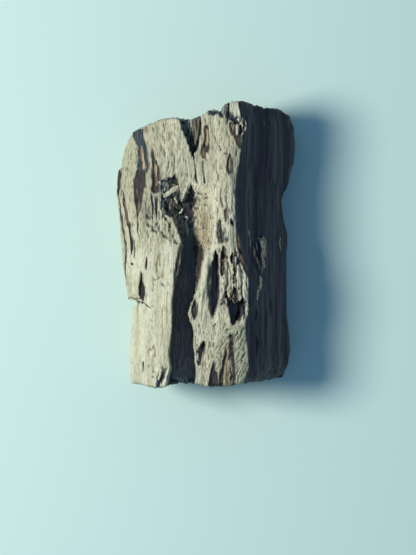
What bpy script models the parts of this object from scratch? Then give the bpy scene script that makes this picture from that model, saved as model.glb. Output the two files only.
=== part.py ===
"""A chunk of weathered palo santo wood, lying with its split and rotted side up.

The wood grew as one piece, so it is one solid. Its grain runs along Y. A crest that also runs
along Y parts the worn upper side, which has the groove, the hollows and the resin scars, from a
steep split side that faces +X. The underside is flat where the chunk rests, and it curves up a
little towards every edge. All the sizes below are in millimetres.
"""

import math
from collections import namedtuple

import bmesh
import bpy
import numpy as np
from mathutils import Vector, noise

MM = 0.001
NODE = "palo_santo_chunk"

# Driving dimensions
LENGTH = 100.0
WIDTH = 62.2
HEIGHT = 38.0

# Cells of the block across the grain, along it and up it, and the triangles kept at the end
CELLS = (124, 166, 18)
TRIANGLES = 9600

# Outline seen from above: the long edges as (y, x), the two ends as (x, y)
LEFT_EDGE = (
    (-48.3, -25.8), (-46.8, -26.3), (-38.5, -26.5), (-26.3, -25.6), (-21.6, -25.5),
    (-18.8, -27.0), (-14.1, -27.7), (-7.8, -28.8), (5.0, -29.7), (17.3, -31.1), (25.8, -30.4),
    (26.9, -29.5), (31.6, -28.7), (36.3, -27.0), (39.3, -25.2),
)
RIGHT_EDGE = (
    (-46.6, 26.1), (-41.7, 28.3), (-37.3, 29.4), (-32.4, 29.2), (-24.3, 27.8), (-3.1, 27.9),
    (0.9, 28.4), (4.1, 28.4), (12.5, 26.6), (15.6, 26.3), (21.4, 28.4), (28.8, 30.7),
    (35.4, 31.1), (41.2, 30.6), (44.8, 29.3),
)
LOWER_END = (
    (-25.8, -48.3), (-21.6, -49.0), (-18.2, -50.0), (-15.7, -49.9), (-8.9, -48.2), (-2.0, -48.8),
    (2.0, -49.5), (9.8, -48.9), (18.8, -47.8), (26.1, -46.6),
)
UPPER_END = (
    (-25.2, 39.3), (-21.9, 41.2), (-15.6, 43.5), (-10.5, 44.2), (-5.3, 43.4), (-1.4, 44.9),
    (2.4, 47.4), (5.4, 46.3), (6.4, 48.5), (9.0, 49.7), (13.0, 50.0), (18.3, 47.7),
    (26.0, 46.7), (29.3, 44.8),
)

# Notch broken into the left edge, as (y, depth), and how far in from the edge it is felt
NOTCH = ((-21.7, 0.0), (-21.2, 1.5), (-20.2, 2.6), (-19.5, 2.2), (-19.1, 0.0))
NOTCH_REACH = 2.8

# How far the long sides and the two ends lean in from the outline to the underside
LEFT_INSET = 6.5
RIGHT_INSET = 5.5
END_INSET = 3.5
INSET_CURVE = 1.9

# The crest between the worn side and the split side, as (y, x)
CREST = (
    (-48.0, 14.0), (-42.0, 14.7), (-31.5, 13.7), (-28.0, 13.0), (-19.3, 14.0), (-12.3, 14.7),
    (-2.6, 13.0), (1.6, 11.6), (6.8, 10.4), (15.6, 10.2), (33.0, 12.0), (40.0, 13.0), (48.6, 11.3),
)

# Heights of the upper surface on eleven cross sections, from the left rim to the right rim
SECTION_Y = (-49.0, -40.0, -30.0, -20.0, -10.0, 0.0, 10.0, 20.0, 30.0, 40.0, 49.0)
SECTION_HEIGHTS = (
    (20.0, 21.0, 22.0, 22.0, 21.0, 20.0, 19.0, 19.0, 20.0, 20.0, 20.0),
    (26.0, 27.0, 28.0, 28.5, 28.5, 28.0, 27.0, 26.0, 26.0, 27.0, 27.0),
    (29.0, 30.0, 31.0, 31.5, 31.5, 31.0, 29.5, 29.0, 29.5, 30.0, 30.0),
    (31.0, 32.0, 33.0, 33.5, 33.5, 33.0, 31.0, 31.0, 31.5, 32.0, 32.0),
    (32.0, 33.0, 34.0, 34.5, 34.0, 33.0, 32.5, 33.0, 33.5, 34.0, 33.5),
    (34.5, 35.5, 36.5, 37.0, 37.5, 37.5, 38.0, 38.0, 37.5, 37.0, 36.0),
    (33.7, 34.8, 35.8, 36.3, 36.8, 36.8, 37.3, 37.3, 36.8, 36.3, 35.3),
    (23.0, 24.0, 25.0, 25.0, 25.5, 26.0, 27.0, 26.5, 25.5, 25.0, 24.0),
    (10.5, 10.5, 11.5, 11.5, 11.5, 12.5, 14.0, 13.0, 12.0, 11.5, 11.5),
)

# The flat patch underneath, and how much the underside lifts towards the edges
FLAT_HALF_WIDTH = 12.0
FLAT_HALF_LENGTH = 34.0
UNDERSIDE_FADE = 13.0
UNDERSIDE_LIFT = 3.4
THINNEST = 3.0

# The groove that opens at the lower end, with the rotted hollow at its head
GROOVE = (
    (-17.5, -56.0), (-16.2, -48.9), (-14.0, -42.0), (-13.1, -36.7), (-12.3, -29.7),
    (-11.6, -20.0), (-11.7, -14.2), (-10.9, -7.5), (-9.1, -0.6), (-10.3, 4.4), (-12.4, 8.6),
    (-15.4, 13.0), (-15.0, 17.2), (-15.8, 22.0), (-11.4, 23.6), (-10.6, 24.9), (-9.4, 21.8),
    (-8.9, 18.3), (-7.9, 14.3), (-6.4, 17.2), (-4.7, 20.9), (-3.9, 18.1), (-4.2, 10.3),
    (-3.4, 1.6), (-3.3, -17.0), (-4.6, -19.4), (-5.8, -22.0), (-5.8, -24.4), (-4.8, -27.4),
    (-4.1, -30.0), (-3.6, -37.0), (-3.0, -44.0), (-3.0, -56.0),
)
GROOVE_FLOOR = ((-50.0, 15.0), (-30.0, 15.0), (0.0, 14.0), (10.0, 11.0), (18.0, 6.5), (25.0, 5.0))
GROOVE_WALL = 1.7

# The bank that slopes from its own crest down into the right side of the groove
BANK_INNER_X = -3.4
BANK_CREST = (
    (-19.3, -3.0), (-15.8, -2.0), (-8.8, -0.2), (-3.6, 0.5), (-0.1, 3.4), (10.3, 2.5), (21.0, -2.5),
)
BANK_DEPTH = 9.0
BANK_CURVE = 1.3

Hollow = namedtuple("Hollow", "outline depth wall")
HOLLOWS = (
    # Wedge split out of the upper end
    Hollow(
        (
            (-10.2, 47.0), (-9.3, 43.5), (-7.7, 39.1), (-5.3, 32.3), (-4.4, 31.3), (-3.0, 32.1),
            (-1.6, 38.1), (-1.4, 41.7), (-2.2, 47.0),
        ),
        5.5, 1.8,
    ),
    # Gap behind the highest splinter of the upper end
    Hollow(((0.3, 45.8), (2.4, 52.0), (6.0, 52.0), (6.4, 43.8), (4.1, 44.6), (2.2, 45.2)), 6.0, 1.2),
    # Long slot beside the groove
    Hollow(
        (
            (2.7, -0.8), (3.8, -1.5), (4.5, -6.0), (4.6, -19.3), (4.1, -22.4), (2.2, -25.5),
            (0.8, -21.0), (1.0, -15.8), (2.0, -6.0),
        ),
        7.0, 1.4,
    ),
    # Forked pocket under the crest
    Hollow(
        (
            (9.9, -13.4), (10.7, -15.8), (11.4, -19.3), (12.6, -18.9), (12.1, -23.5),
            (9.7, -28.2), (7.9, -23.5), (6.7, -17.2), (8.8, -17.9),
        ),
        5.0, 1.2,
    ),
    # Gap behind the broken strip of the left edge
    Hollow(((-22.2, -9.8), (-20.9, -15.3), (-21.7, -20.6), (-23.5, -20.2), (-22.9, -16.1)), 4.5, 0.9),
    # Worn mouth of the long scar at the lower end
    Hollow(
        ((8.8, -30.3), (10.2, -36.7), (10.2, -53.0), (4.6, -53.0), (5.2, -42.6), (7.6, -32.2)),
        2.2, 1.4,
    ),
    # Pocket beside it
    Hollow(((2.7, -40.3), (4.6, -44.4), (4.6, -53.0), (0.5, -53.0), (1.7, -45.4)), 2.8, 1.2),
    # Small forked pocket at the groove's edge
    Hollow(((-3.2, -34.3), (-0.1, -33.8), (-1.3, -39.5), (-2.2, -42.5), (-3.0, -38.5)), 2.4, 0.9),
)

# Lens-shaped scars that lie nearly along the grain; lean is in degrees from +Y towards +X
Scar = namedtuple("Scar", "x y half_length half_width depth lean")
SCARS = (
    Scar(-22.4, 33.2, 9.0, 2.4, 0.9, -15.0),
    Scar(-23.2, 16.5, 11.0, 2.0, 1.0, 3.0),
    Scar(-17.8, 24.8, 8.0, 1.9, 1.1, -7.0),
    Scar(-29.2, 7.8, 16.5, 0.8, 0.9, -5.7),
    Scar(-27.3, 8.6, 11.0, 1.1, 1.0, -9.5),
    Scar(0.1, 36.1, 5.8, 1.8, 1.5, 7.0),
    Scar(8.2, 27.6, 3.9, 1.5, 1.3, 0.0),
    Scar(10.6, 36.0, 5.0, 1.7, 1.2, -12.0),
    Scar(7.1, 10.3, 2.6, 1.1, 1.0, 0.0),
    Scar(9.2, 8.2, 2.8, 1.1, 1.0, 0.0),
    Scar(5.4, 3.5, 4.6, 1.6, 1.4, 0.0),
    Scar(5.9, -6.0, 5.6, 1.3, 2.2, 0.0),
    Scar(9.2, -4.5, 2.4, 1.0, 1.6, 0.0),
    Scar(9.8, -9.2, 5.0, 0.7, 1.3, 0.0),
    Scar(17.4, -24.5, 3.8, 1.2, 1.0, 0.0),
    Scar(17.2, -36.2, 5.0, 1.4, 1.0, 0.0),
    Scar(21.9, -22.4, 3.5, 1.3, 0.9, 0.0),
    # Inside of the ring knot that stands in the groove's right wall
    Scar(-4.2, -23.1, 3.3, 1.2, 2.6, 0.0),
)

# Raised forms: the pale chip caught in the hollow, the bank's crest in two parts, the slab's knot
Lump = namedtuple("Lump", "x y half_length half_width height lean")
LUMPS = (
    Lump(-12.0, 18.6, 3.4, 1.3, 2.8, 57.0),
    Lump(3.0, 8.0, 12.0, 1.4, 0.9, 0.0),
    Lump(-0.4, -13.0, 13.0, 1.5, 0.9, 8.0),
    Lump(-19.2, -37.4, 1.6, 1.2, 0.7, 0.0),
)

# Steps in the surface: the broken upper edge of the left slab as (x, y), and one on the split side
SLAB_STEP_LINE = (
    (-21.0, 6.5), (-18.0, 4.8), (-16.8, 5.4), (-15.0, 2.0), (-12.0, 1.2), (-10.2, 0.4), (-8.6, -0.8),
)
SLAB_STEP_X = (-20.5, -8.0)
SLAB_STEP = 1.5
SPLIT_STEP_Y = 1.2
SPLIT_STEP_X = 17.0
SPLIT_STEP = 1.5
STEP_WIDTH = 1.4
STEP_FADE = 14.0

# Rounding where the upper surface meets the ends and the right rim
END_ROUNDING = 1.3
CORNER_ROUNDING = 4.5
CORNER_X = (11.0, 17.0)
RIM_ROUNDING = 1.6

# Swelling of the surface along the grain, and of the sides and broken ends
SWELL = 0.55
SWELL_ACROSS = 5.5
SWELL_ALONG = 26.0
SIDE_SWELL = 1.5
SIDE_SWELL_ALONG = 20.0
SIDE_SWELL_UP = 9.0
END_SWELL = 1.0
END_SWELL_ACROSS = 4.0
END_SWELL_UP = 11.0

# Bleached, dry wood
WOOD_COLOUR = (0.42, 0.40, 0.29, 1.0)
WOOD_ROUGHNESS = 0.85
WOOD_METALLIC = 0.0
SHARP_ANGLE = math.radians(38.0)


def clear_scene():
    """Remove every object of the scene."""
    for obj in list(bpy.data.objects):
        bpy.data.objects.remove(obj)


def follow(points, value):
    """Read a line of (place, size) points at each value."""
    places, sizes = zip(*points)
    return np.interp(value, places, sizes)


def ease(low, high, value):
    """Rise smoothly from 0 at low to 1 at high."""
    share = np.clip((value - low) / (high - low), 0.0, 1.0)
    return share * share * (3.0 - 2.0 * share)


def blend(start, end, share):
    """Go from start to end in a straight line."""
    return start + (end - start) * share


def swell(first, second, seed):
    """Smooth noise from -1 to 1 over two coordinates."""
    return np.array([noise.noise(Vector((a, b, seed))) for a, b in zip(first, second)])


def depth_inside(outline, x, y):
    """Distance of each point from a closed outline, positive inside it and negative outside."""
    nearest = np.full(x.shape, np.inf)
    inside = np.zeros(x.shape, bool)
    for (ax, ay), (bx, by) in zip(outline, outline[1:] + outline[:1]):
        run_x = bx - ax
        run_y = by - ay
        share = ((x - ax) * run_x + (y - ay) * run_y) / (run_x**2 + run_y**2)
        share = np.clip(share, 0.0, 1.0)
        nearest = np.minimum(nearest, np.hypot(x - ax - share * run_x, y - ay - share * run_y))
        if run_y:
            crossing = (ay > y) != (by > y)
            inside ^= crossing & (x < ax + run_x * (y - ay) / run_y)
    return np.where(inside, nearest, -nearest)


def lens(mark, x, y):
    """Measure of a lens-shaped mark: 1 on its axis at the middle, 0 on its edge."""
    lean = math.radians(mark.lean)
    along = (x - mark.x) * math.sin(lean) + (y - mark.y) * math.cos(lean)
    across = (x - mark.x) * math.cos(lean) - (y - mark.y) * math.sin(lean)
    return 1.0 - (along / mark.half_length) ** 2 - np.abs(across) / mark.half_width


def section_height(x, y):
    """Height of the upper surface without its hollows, on a curve through the section heights."""
    left = follow(LEFT_EDGE, y)
    right = follow(RIGHT_EDGE, y)
    crest = follow(CREST, y)
    middle = np.zeros(y.shape)
    stations = (
        left, left + 5.0, left + 11.0, middle - 10.0, middle,
        crest - 3.0, crest, 0.5 * (crest + right), right,
    )
    heights = [np.interp(y, SECTION_Y, row) for row in SECTION_HEIGHTS]
    slopes = [
        (heights[k + 1] - heights[k]) / (stations[k + 1] - stations[k])
        for k in range(len(stations) - 1)
    ]
    tangents = [slopes[0]]
    tangents += [0.5 * (before + after) for before, after in zip(slopes, slopes[1:])]
    tangents.append(slopes[-1])
    height = heights[0].copy()
    for k in range(len(slopes)):
        span = stations[k + 1] - stations[k]
        share = np.clip((x - stations[k]) / span, 0.0, 1.0)
        rise = share * share * (3.0 - 2.0 * share)
        curve = blend(heights[k], heights[k + 1], rise)
        curve += span * tangents[k] * share * (1.0 - share) ** 2
        curve -= span * tangents[k + 1] * share**2 * (1.0 - share)
        height = np.where(x >= stations[k], curve, height)
    return height


def hollow_depth(x, y):
    """How far the groove, its bank, the pockets and the scars lie below the worn surface."""
    inside = depth_inside(GROOVE, x, y)
    depth = follow(GROOVE_FLOOR, y) * ease(0.0, GROOVE_WALL, inside)
    crest = follow(BANK_CREST, y)
    share = np.clip((crest - x) / np.maximum(crest - BANK_INNER_X, 0.4), 0.0, 1.0)
    reach = ease(-19.3, -12.0, y) * ease(20.0, 12.0, y) * ease(-10.0, -7.0, x)
    depth = np.maximum(depth, BANK_DEPTH * share**BANK_CURVE * reach)
    for hollow in HOLLOWS:
        inside = depth_inside(hollow.outline, x, y)
        depth = np.maximum(depth, hollow.depth * ease(0.0, hollow.wall, inside))
    for scar in SCARS:
        depth = np.maximum(depth, scar.depth * ease(0.0, 0.6, lens(scar, x, y)))
    for lump in LUMPS:
        depth = depth - lump.height * ease(0.0, 0.6, lens(lump, x, y))
    return depth


def step_depth(x, y):
    """How far the surface above each broken step lies below the surface under it."""
    above = y - follow(SLAB_STEP_LINE, x)
    slab = ease(SLAB_STEP_X[0] - 2.0, SLAB_STEP_X[0] + 1.0, x) * ease(-4.0, SLAB_STEP_X[1], x)
    slab *= ease(0.0, STEP_WIDTH, above) * ease(STEP_FADE, STEP_WIDTH, above)
    above = y - SPLIT_STEP_Y
    split = ease(SPLIT_STEP_X - 2.5, SPLIT_STEP_X, x)
    split *= ease(0.0, STEP_WIDTH, above) * ease(STEP_FADE, STEP_WIDTH, above)
    return SLAB_STEP * slab + SPLIT_STEP * split


def rounding(radius, distance):
    """Drop of a rounded edge of this radius at this distance from the edge."""
    share = np.clip(1.0 - distance / radius, 0.0, 1.0)
    return radius * (1.0 - np.sqrt(1.0 - share**2))


def upper_height(x, y):
    """Height of the finished upper surface."""
    lower_radius = blend(END_ROUNDING, CORNER_ROUNDING, ease(*CORNER_X, x))
    height = section_height(x, y) - hollow_depth(x, y) - step_depth(x, y)
    height -= rounding(lower_radius, y - follow(LOWER_END, x))
    height -= rounding(END_ROUNDING, follow(UPPER_END, x) - y)
    height -= rounding(RIM_ROUNDING, follow(RIGHT_EDGE, y) - x)
    height += SWELL * swell(x / SWELL_ACROSS, y / SWELL_ALONG, 0.0)
    return np.maximum(height, under_height(x, y) + THINNEST)


def under_height(x, y):
    """Height of the underside: zero on the flat patch, rising towards every edge."""
    past_x = np.maximum(np.abs(x) - FLAT_HALF_WIDTH, 0.0) / UNDERSIDE_FADE
    past_y = np.maximum(np.abs(y) - FLAT_HALF_LENGTH, 0.0) / UNDERSIDE_FADE
    past = np.hypot(past_x, past_y)
    return UNDERSIDE_LIFT * past**1.6 * (1.0 + 0.3 * swell(x / 7.0, y / 15.0, 3.0))


def shape_of(unit):
    """Move the points of a unit block to the surface of the chunk."""
    across, along, up = unit.T + 0.5
    x = blend(-WIDTH / 2, WIDTH / 2, across)
    y = blend(-LENGTH / 2, LENGTH / 2, along)
    for _ in range(6):
        x = blend(follow(LEFT_EDGE, y), follow(RIGHT_EDGE, y), across)
        y = blend(follow(LOWER_END, x), follow(UPPER_END, x), along)
    x += follow(NOTCH, y) * np.exp(-(((x - follow(LEFT_EDGE, y)) / NOTCH_REACH) ** 2))
    top = upper_height(x, y)
    lean = (1.0 - up) ** INSET_CURVE
    low_x = x + blend(LEFT_INSET, -RIGHT_INSET, across) * lean
    low_y = y + blend(END_INSET, -END_INSET, along) * lean
    z = blend(under_height(low_x, low_y), top, up)
    belly = 4.0 * up * (1.0 - up)
    side = np.sign(across - 0.5) * (np.abs(across - 0.5) > 0.499)
    end = np.sign(along - 0.5) * (np.abs(along - 0.5) > 0.499)
    side_swell = swell(y / SIDE_SWELL_ALONG, z / SIDE_SWELL_UP, 7.0) - 0.5
    end_swell = swell(x / END_SWELL_ACROSS, z / END_SWELL_UP, 11.0) - 0.5
    low_x += SIDE_SWELL * belly * side * side_swell
    low_y += END_SWELL * belly * end * end_swell
    return np.column_stack((low_x, low_y, z))


def block_of_cells(cells):
    """A closed unit block with its faces cut into a grid of cells."""
    bm = bmesh.new()
    bmesh.ops.create_cube(bm, size=1.0)
    for axis, count in enumerate(cells):
        along = [
            edge for edge in bm.edges
            if abs(edge.verts[0].co[axis] - edge.verts[1].co[axis]) > 0.5
        ]
        bmesh.ops.subdivide_edges(bm, edges=along, cuts=count - 1, use_grid_fill=True)
    mesh = bpy.data.meshes.new(NODE)
    bm.to_mesh(mesh)
    bm.free()
    return mesh


def wood_material():
    """Dry, bleached wood."""
    material = bpy.data.materials.new("bleached_palo_santo")
    material.use_nodes = True
    shader = material.node_tree.nodes["Principled BSDF"]
    shader.inputs["Base Color"].default_value = WOOD_COLOUR
    shader.inputs["Roughness"].default_value = WOOD_ROUGHNESS
    shader.inputs["Metallic"].default_value = WOOD_METALLIC
    material.diffuse_color = WOOD_COLOUR
    return material


def build_chunk():
    """The whole chunk: a block of cells moved to the wood's surface, then thinned out."""
    mesh = block_of_cells(CELLS)
    count = len(mesh.vertices)
    unit = np.empty(count * 3, np.float32)
    mesh.vertices.foreach_get("co", unit)
    points = shape_of(unit.reshape(-1, 3).astype(np.float64))
    points[:, 2] *= HEIGHT / points[:, 2].max()
    mesh.vertices.foreach_set("co", (points * MM).astype(np.float32).ravel())
    mesh.materials.append(wood_material())
    mesh.shade_smooth()
    mesh.set_sharp_from_angle(angle=SHARP_ANGLE)
    mesh.update()
    chunk = bpy.data.objects.new(NODE, mesh)
    bpy.context.scene.collection.objects.link(chunk)
    thin = chunk.modifiers.new("thin_out", "DECIMATE")
    thin.ratio = TRIANGLES / sum(len(face.vertices) - 2 for face in mesh.polygons)
    return chunk


clear_scene()
build_chunk()
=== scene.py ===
"""The looks of a chunk of weathered palo santo wood, lying with its split and rotted side up.

The chunk is one piece of wood with its grain along Y. The light comes from the left, over the
worn pale side, so the split side that faces right lies in shade. All sizes are in millimetres
until a mesh is made.
"""

import logging
import math
from collections.abc import Iterator
from dataclasses import dataclass, field
from enum import Enum
from itertools import product

import bpy
import numpy as np
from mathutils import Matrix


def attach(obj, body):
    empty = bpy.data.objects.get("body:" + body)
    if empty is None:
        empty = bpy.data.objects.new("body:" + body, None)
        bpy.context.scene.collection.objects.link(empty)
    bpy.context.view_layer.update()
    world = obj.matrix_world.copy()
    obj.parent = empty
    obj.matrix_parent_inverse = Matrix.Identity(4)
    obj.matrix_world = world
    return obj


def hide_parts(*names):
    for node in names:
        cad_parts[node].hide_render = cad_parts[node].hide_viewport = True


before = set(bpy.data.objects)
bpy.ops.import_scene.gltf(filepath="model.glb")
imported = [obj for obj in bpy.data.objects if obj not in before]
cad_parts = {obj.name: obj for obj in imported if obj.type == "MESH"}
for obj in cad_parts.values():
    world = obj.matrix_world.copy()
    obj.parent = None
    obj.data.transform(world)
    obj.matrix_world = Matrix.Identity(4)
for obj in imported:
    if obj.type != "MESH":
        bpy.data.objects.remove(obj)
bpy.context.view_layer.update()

log = logging.getLogger("palo_santo")

MM = 0.001
NODE = "palo_santo_chunk"
BODY = "root"
# Name of the mesh attribute that holds the coordinates that follow the grain
GRAIN = "grain"

Array = np.ndarray
Range = tuple[float, float]
Points = tuple[tuple[float, float], ...]
# Layers of noise or relief, each as (size across the grain, size along it, height or reach)
Layers = tuple[tuple[float, float, float], ...]
Cell = tuple[int, int]
Faces = list[tuple[int, ...]]
# Where a pattern begins to cover, where it covers fully, and the share that it covers
Cover = tuple[float, float, float]
Socket = bpy.types.NodeSocket
Value = Socket | float | tuple[float, ...]


def follow(points: Points, value: Array) -> Array:
    """Read sizes off a line of (place, size) points, whose places rise."""
    places, sizes = zip(*points)
    return np.interp(value, places, sizes)


def smooth(share: Array) -> Array:
    """Bend a share from 0 to 1 so that it starts and ends level."""
    return share * share * (3.0 - 2.0 * share)


def ease(low: float, high: float, value: Array) -> Array:
    """Rise smoothly from 0 at low to 1 at high, which may be under low."""
    return smooth(np.clip((value - low) / (high - low), 0.0, 1.0))


def blend(start: Array, end: Array, share: Array) -> Array:
    """Go from start to end in a straight line, by a share from 0 to 1."""
    return start + (end - start) * share


def rounding(radius: Array, distance: Array) -> Array:
    """How far a rounded edge lies below an unrounded one, at a distance from it."""
    share = np.clip(1.0 - distance / radius, 0.0, 1.0)
    return radius * (1.0 - np.sqrt(1.0 - share**2))


def taper(way: Array, steep: float, tip: float) -> Array:
    """Share of the full width along something that thins out towards both ends."""
    return np.minimum(1.0, steep * way * (1.0 - way) + tip)


def crossing(inside: Array, width: float) -> Array:
    """Turn a distance inside an edge into a share from 0 to 1 that crosses 0.5 on it."""
    return np.clip(0.5 + inside / width, 0.0, 1.0)


def inward(share: Array) -> Array:
    """Direction into the block: 1 where the share is 0, -1 where it is 1, and 0 in between."""
    return np.where(share == 0.0, 1.0, 0.0) - np.where(share == 1.0, 1.0, 0.0)


def beside(x: Array, y: Array, start: Range, end: Range) -> tuple[Array, Array]:
    """Measure places against a straight run.

    Args:
        x, y: Places across the grain and along it.
        start: Where the run starts, as x and y.
        end: Where it ends.

    Returns:
        How far along the run the nearest point lies, as a share, and the distance to it.
    """
    (ax, ay), (bx, by) = start, end
    run_x, run_y = bx - ax, by - ay
    share = ((x - ax) * run_x + (y - ay) * run_y) / (run_x**2 + run_y**2)
    share = np.clip(share, 0.0, 1.0)
    return share, np.hypot(x - ax - share * run_x, y - ay - share * run_y)


class GrainNoise:
    """Smooth noise over three coordinates, the same in each run."""

    SIDE = 64
    # How far one step of a seed shifts the pattern along each coordinate, in cells
    SEED_STEP = (1.0, 2.7, 5.3)

    def __init__(self, seed: int) -> None:
        """Fill the table with random values from a seed."""
        self.table = np.random.default_rng(seed).uniform(-1.0, 1.0, (self.SIDE,) * 3)

    def at(self, x: Array, y: Array, z: Array) -> Array:
        """Read the noise.

        Args:
            x: First coordinate, in cells.
            y: Second coordinate, in cells.
            z: Third coordinate, in cells.

        Returns:
            Values from -1 to 1.
        """
        points = np.stack(np.broadcast_arrays(x, y, z), axis=-1)
        base = np.floor(points)
        share = smooth(points - base)
        low = base.astype(np.int64) % self.SIDE
        high = (low + 1) % self.SIDE
        total = np.zeros(points.shape[:-1])
        for corner in product((0, 1), repeat=3):
            index = np.where(corner, high, low)
            weight = np.prod(np.where(corner, share, 1.0 - share), axis=-1)
            total += weight * self.table[index[..., 0], index[..., 1], index[..., 2]]
        return total

    def streaks(self, place: Array, across: float, along: float, seed: float = 0.0) -> Array:
        """Noise drawn out along the grain.

        Args:
            place: Points as rows of x, y and z.
            across: Size of a streak across the grain.
            along: Size of a streak along it.
            seed: Shift that makes the pattern a different one.

        Returns:
            Values from -1 to 1.
        """
        x, y, z = place.T
        shift_x, shift_y, shift_z = (step * seed for step in self.SEED_STEP)
        return self.at(x / across + shift_x, y / along + shift_y, z / across + shift_z)


@dataclass(frozen=True)
class Patch:
    """An area of the worn side with a closed outline, seen from above."""

    outline: Points

    def inside(self, x: Array, y: Array) -> Array:
        """Distance from the outline.

        Args:
            x, y: Places across the grain and along it.

        Returns:
            Millimetres, positive inside the outline and negative outside.
        """
        nearest = np.full(x.shape, np.inf)
        within = np.zeros(x.shape, bool)
        for start, end in zip(self.outline, self.outline[1:] + self.outline[:1]):
            nearest = np.minimum(nearest, beside(x, y, start, end)[1])
            (ax, ay), (bx, by) = start, end
            if ay != by:
                passed = (ay > y) != (by > y)
                within ^= passed & (x < ax + (bx - ax) * (y - ay) / (by - ay))
        return np.where(within, nearest, -nearest)


@dataclass(frozen=True)
class Line:
    """A crack or streak that follows a path and thins out towards both ends."""

    path: Points
    half_width: float = 0.3
    steep: float = 6.0
    tip: float = 0.35

    def inside(self, x: Array, y: Array) -> Array:
        """Distance from the streak's edge.

        Args:
            x, y: Places across the grain and along it.

        Returns:
            Millimetres, positive on the streak and negative beside it.
        """
        best = np.full(x.shape, -np.inf)
        last = len(self.path) - 1
        for k, (start, end) in enumerate(zip(self.path, self.path[1:])):
            share, away = beside(x, y, start, end)
            width = self.half_width * taper((k + share) / last, self.steep, self.tip)
            best = np.maximum(best, width - away)
        return best


@dataclass(frozen=True)
class Lens:
    """A lens-shaped mark that lies nearly along the grain. Lean is in degrees from +Y to +X."""

    x: float
    y: float
    half_length: float
    half_width: float
    lean: float = 0.0

    def inside(self, x: Array, y: Array) -> Array:
        """Distance from the mark's edge, measured across the grain.

        Args:
            x, y: Places across the grain and along it.

        Returns:
            Millimetres, positive inside the mark and negative outside.
        """
        lean = math.radians(self.lean)
        along = (x - self.x) * math.sin(lean) + (y - self.y) * math.cos(lean)
        across = (x - self.x) * math.cos(lean) - (y - self.y) * math.sin(lean)
        return self.half_width * (1.0 - (along / self.half_length) ** 2) - np.abs(across)


class Tone(Enum):
    """What can show at a point, by the name of the mesh attribute that holds its share."""

    UMBER = "umber"
    SCAR = "scar"
    SLATE = "slate"
    EMBER = "ember"
    RUST = "rust"
    # Rot, also laid as painted shade on the wedge's left part and the hollow's walls
    HOLLOW = "hollow"
    # Cracks, and dark colour laid as painted shade in shaded holes
    CRACK_AND_SHADE = "crack"
    PALE = "pale"
    # Paler fibres of the split side, in part painted light
    OLIVE_HIGHLIGHT = "olive"
    TAN = "tan"
    SPLIT = "split"
    END = "end_grain"
    # Painted shade in recesses
    RECESS_SHADE = "recess_shade"
    BLEACH = "bleach"
    # Darkened grain, painted shade at the bank's foot and beside its crest
    DIRT_AND_SHADE = "dirt_and_shade"
    # Painted fill light: a paler grey where the groove and the pockets lie in shade
    SHADE_FILL = "shade_fill"


class Surface(Enum):
    """Kinds of relief on the worn side, named as the mesh attributes that hold their shares."""

    PLAIN = "plain"
    SMOOTH = "smooth"
    GRANULAR = "granular"
    WRINKLED = "wrinkled"
    FIBROUS = "fibrous"
    RUGGED = "rugged"


@dataclass(frozen=True)
class Zone:
    """An area of the worn side whose surface differs from the rest."""

    form: Patch | Lens
    fade: float
    surface: Surface | None = None
    bleach: float = 0.0
    # Darkening of the grain; at the bank's foot, beside its crest and along the left rim it is painted
    # shade
    dirt_and_shade: float = 0.0

    def share(self, x: Array, y: Array) -> Array:
        """How far each place lies inside the zone, from 0 to 1."""
        return ease(-self.fade, self.fade, self.form.inside(x, y))


@dataclass(frozen=True)
class Floor:
    """A floor that gets deeper or shallower across a hollow."""

    start_x: float
    end_x: float
    start_share: float
    end_share: float

    def share(self, x: Array) -> Array:
        """Share of the full depth at each place across the grain."""
        way = np.clip((x - self.start_x) / (self.end_x - self.start_x), 0.0, 1.0)
        return blend(self.start_share, self.end_share, way)


@dataclass(frozen=True)
class Mark:
    """One scar, crack, stain or hollow: its form and tone, its depth, and how wide its wall is."""

    form: Patch | Line | Lens
    tone: Tone | None = None
    depth: float = 0.0
    wall: float = 0.7
    floor: Floor | None = None

    def depth_at(self, x: Array, inside: Array) -> Array:
        """Depth below the worn surface, for a distance inside the form, in millimetres."""
        depth = self.depth * ease(0.0, self.wall, inside)
        return depth if self.floor is None else depth * self.floor.share(x)


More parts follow.
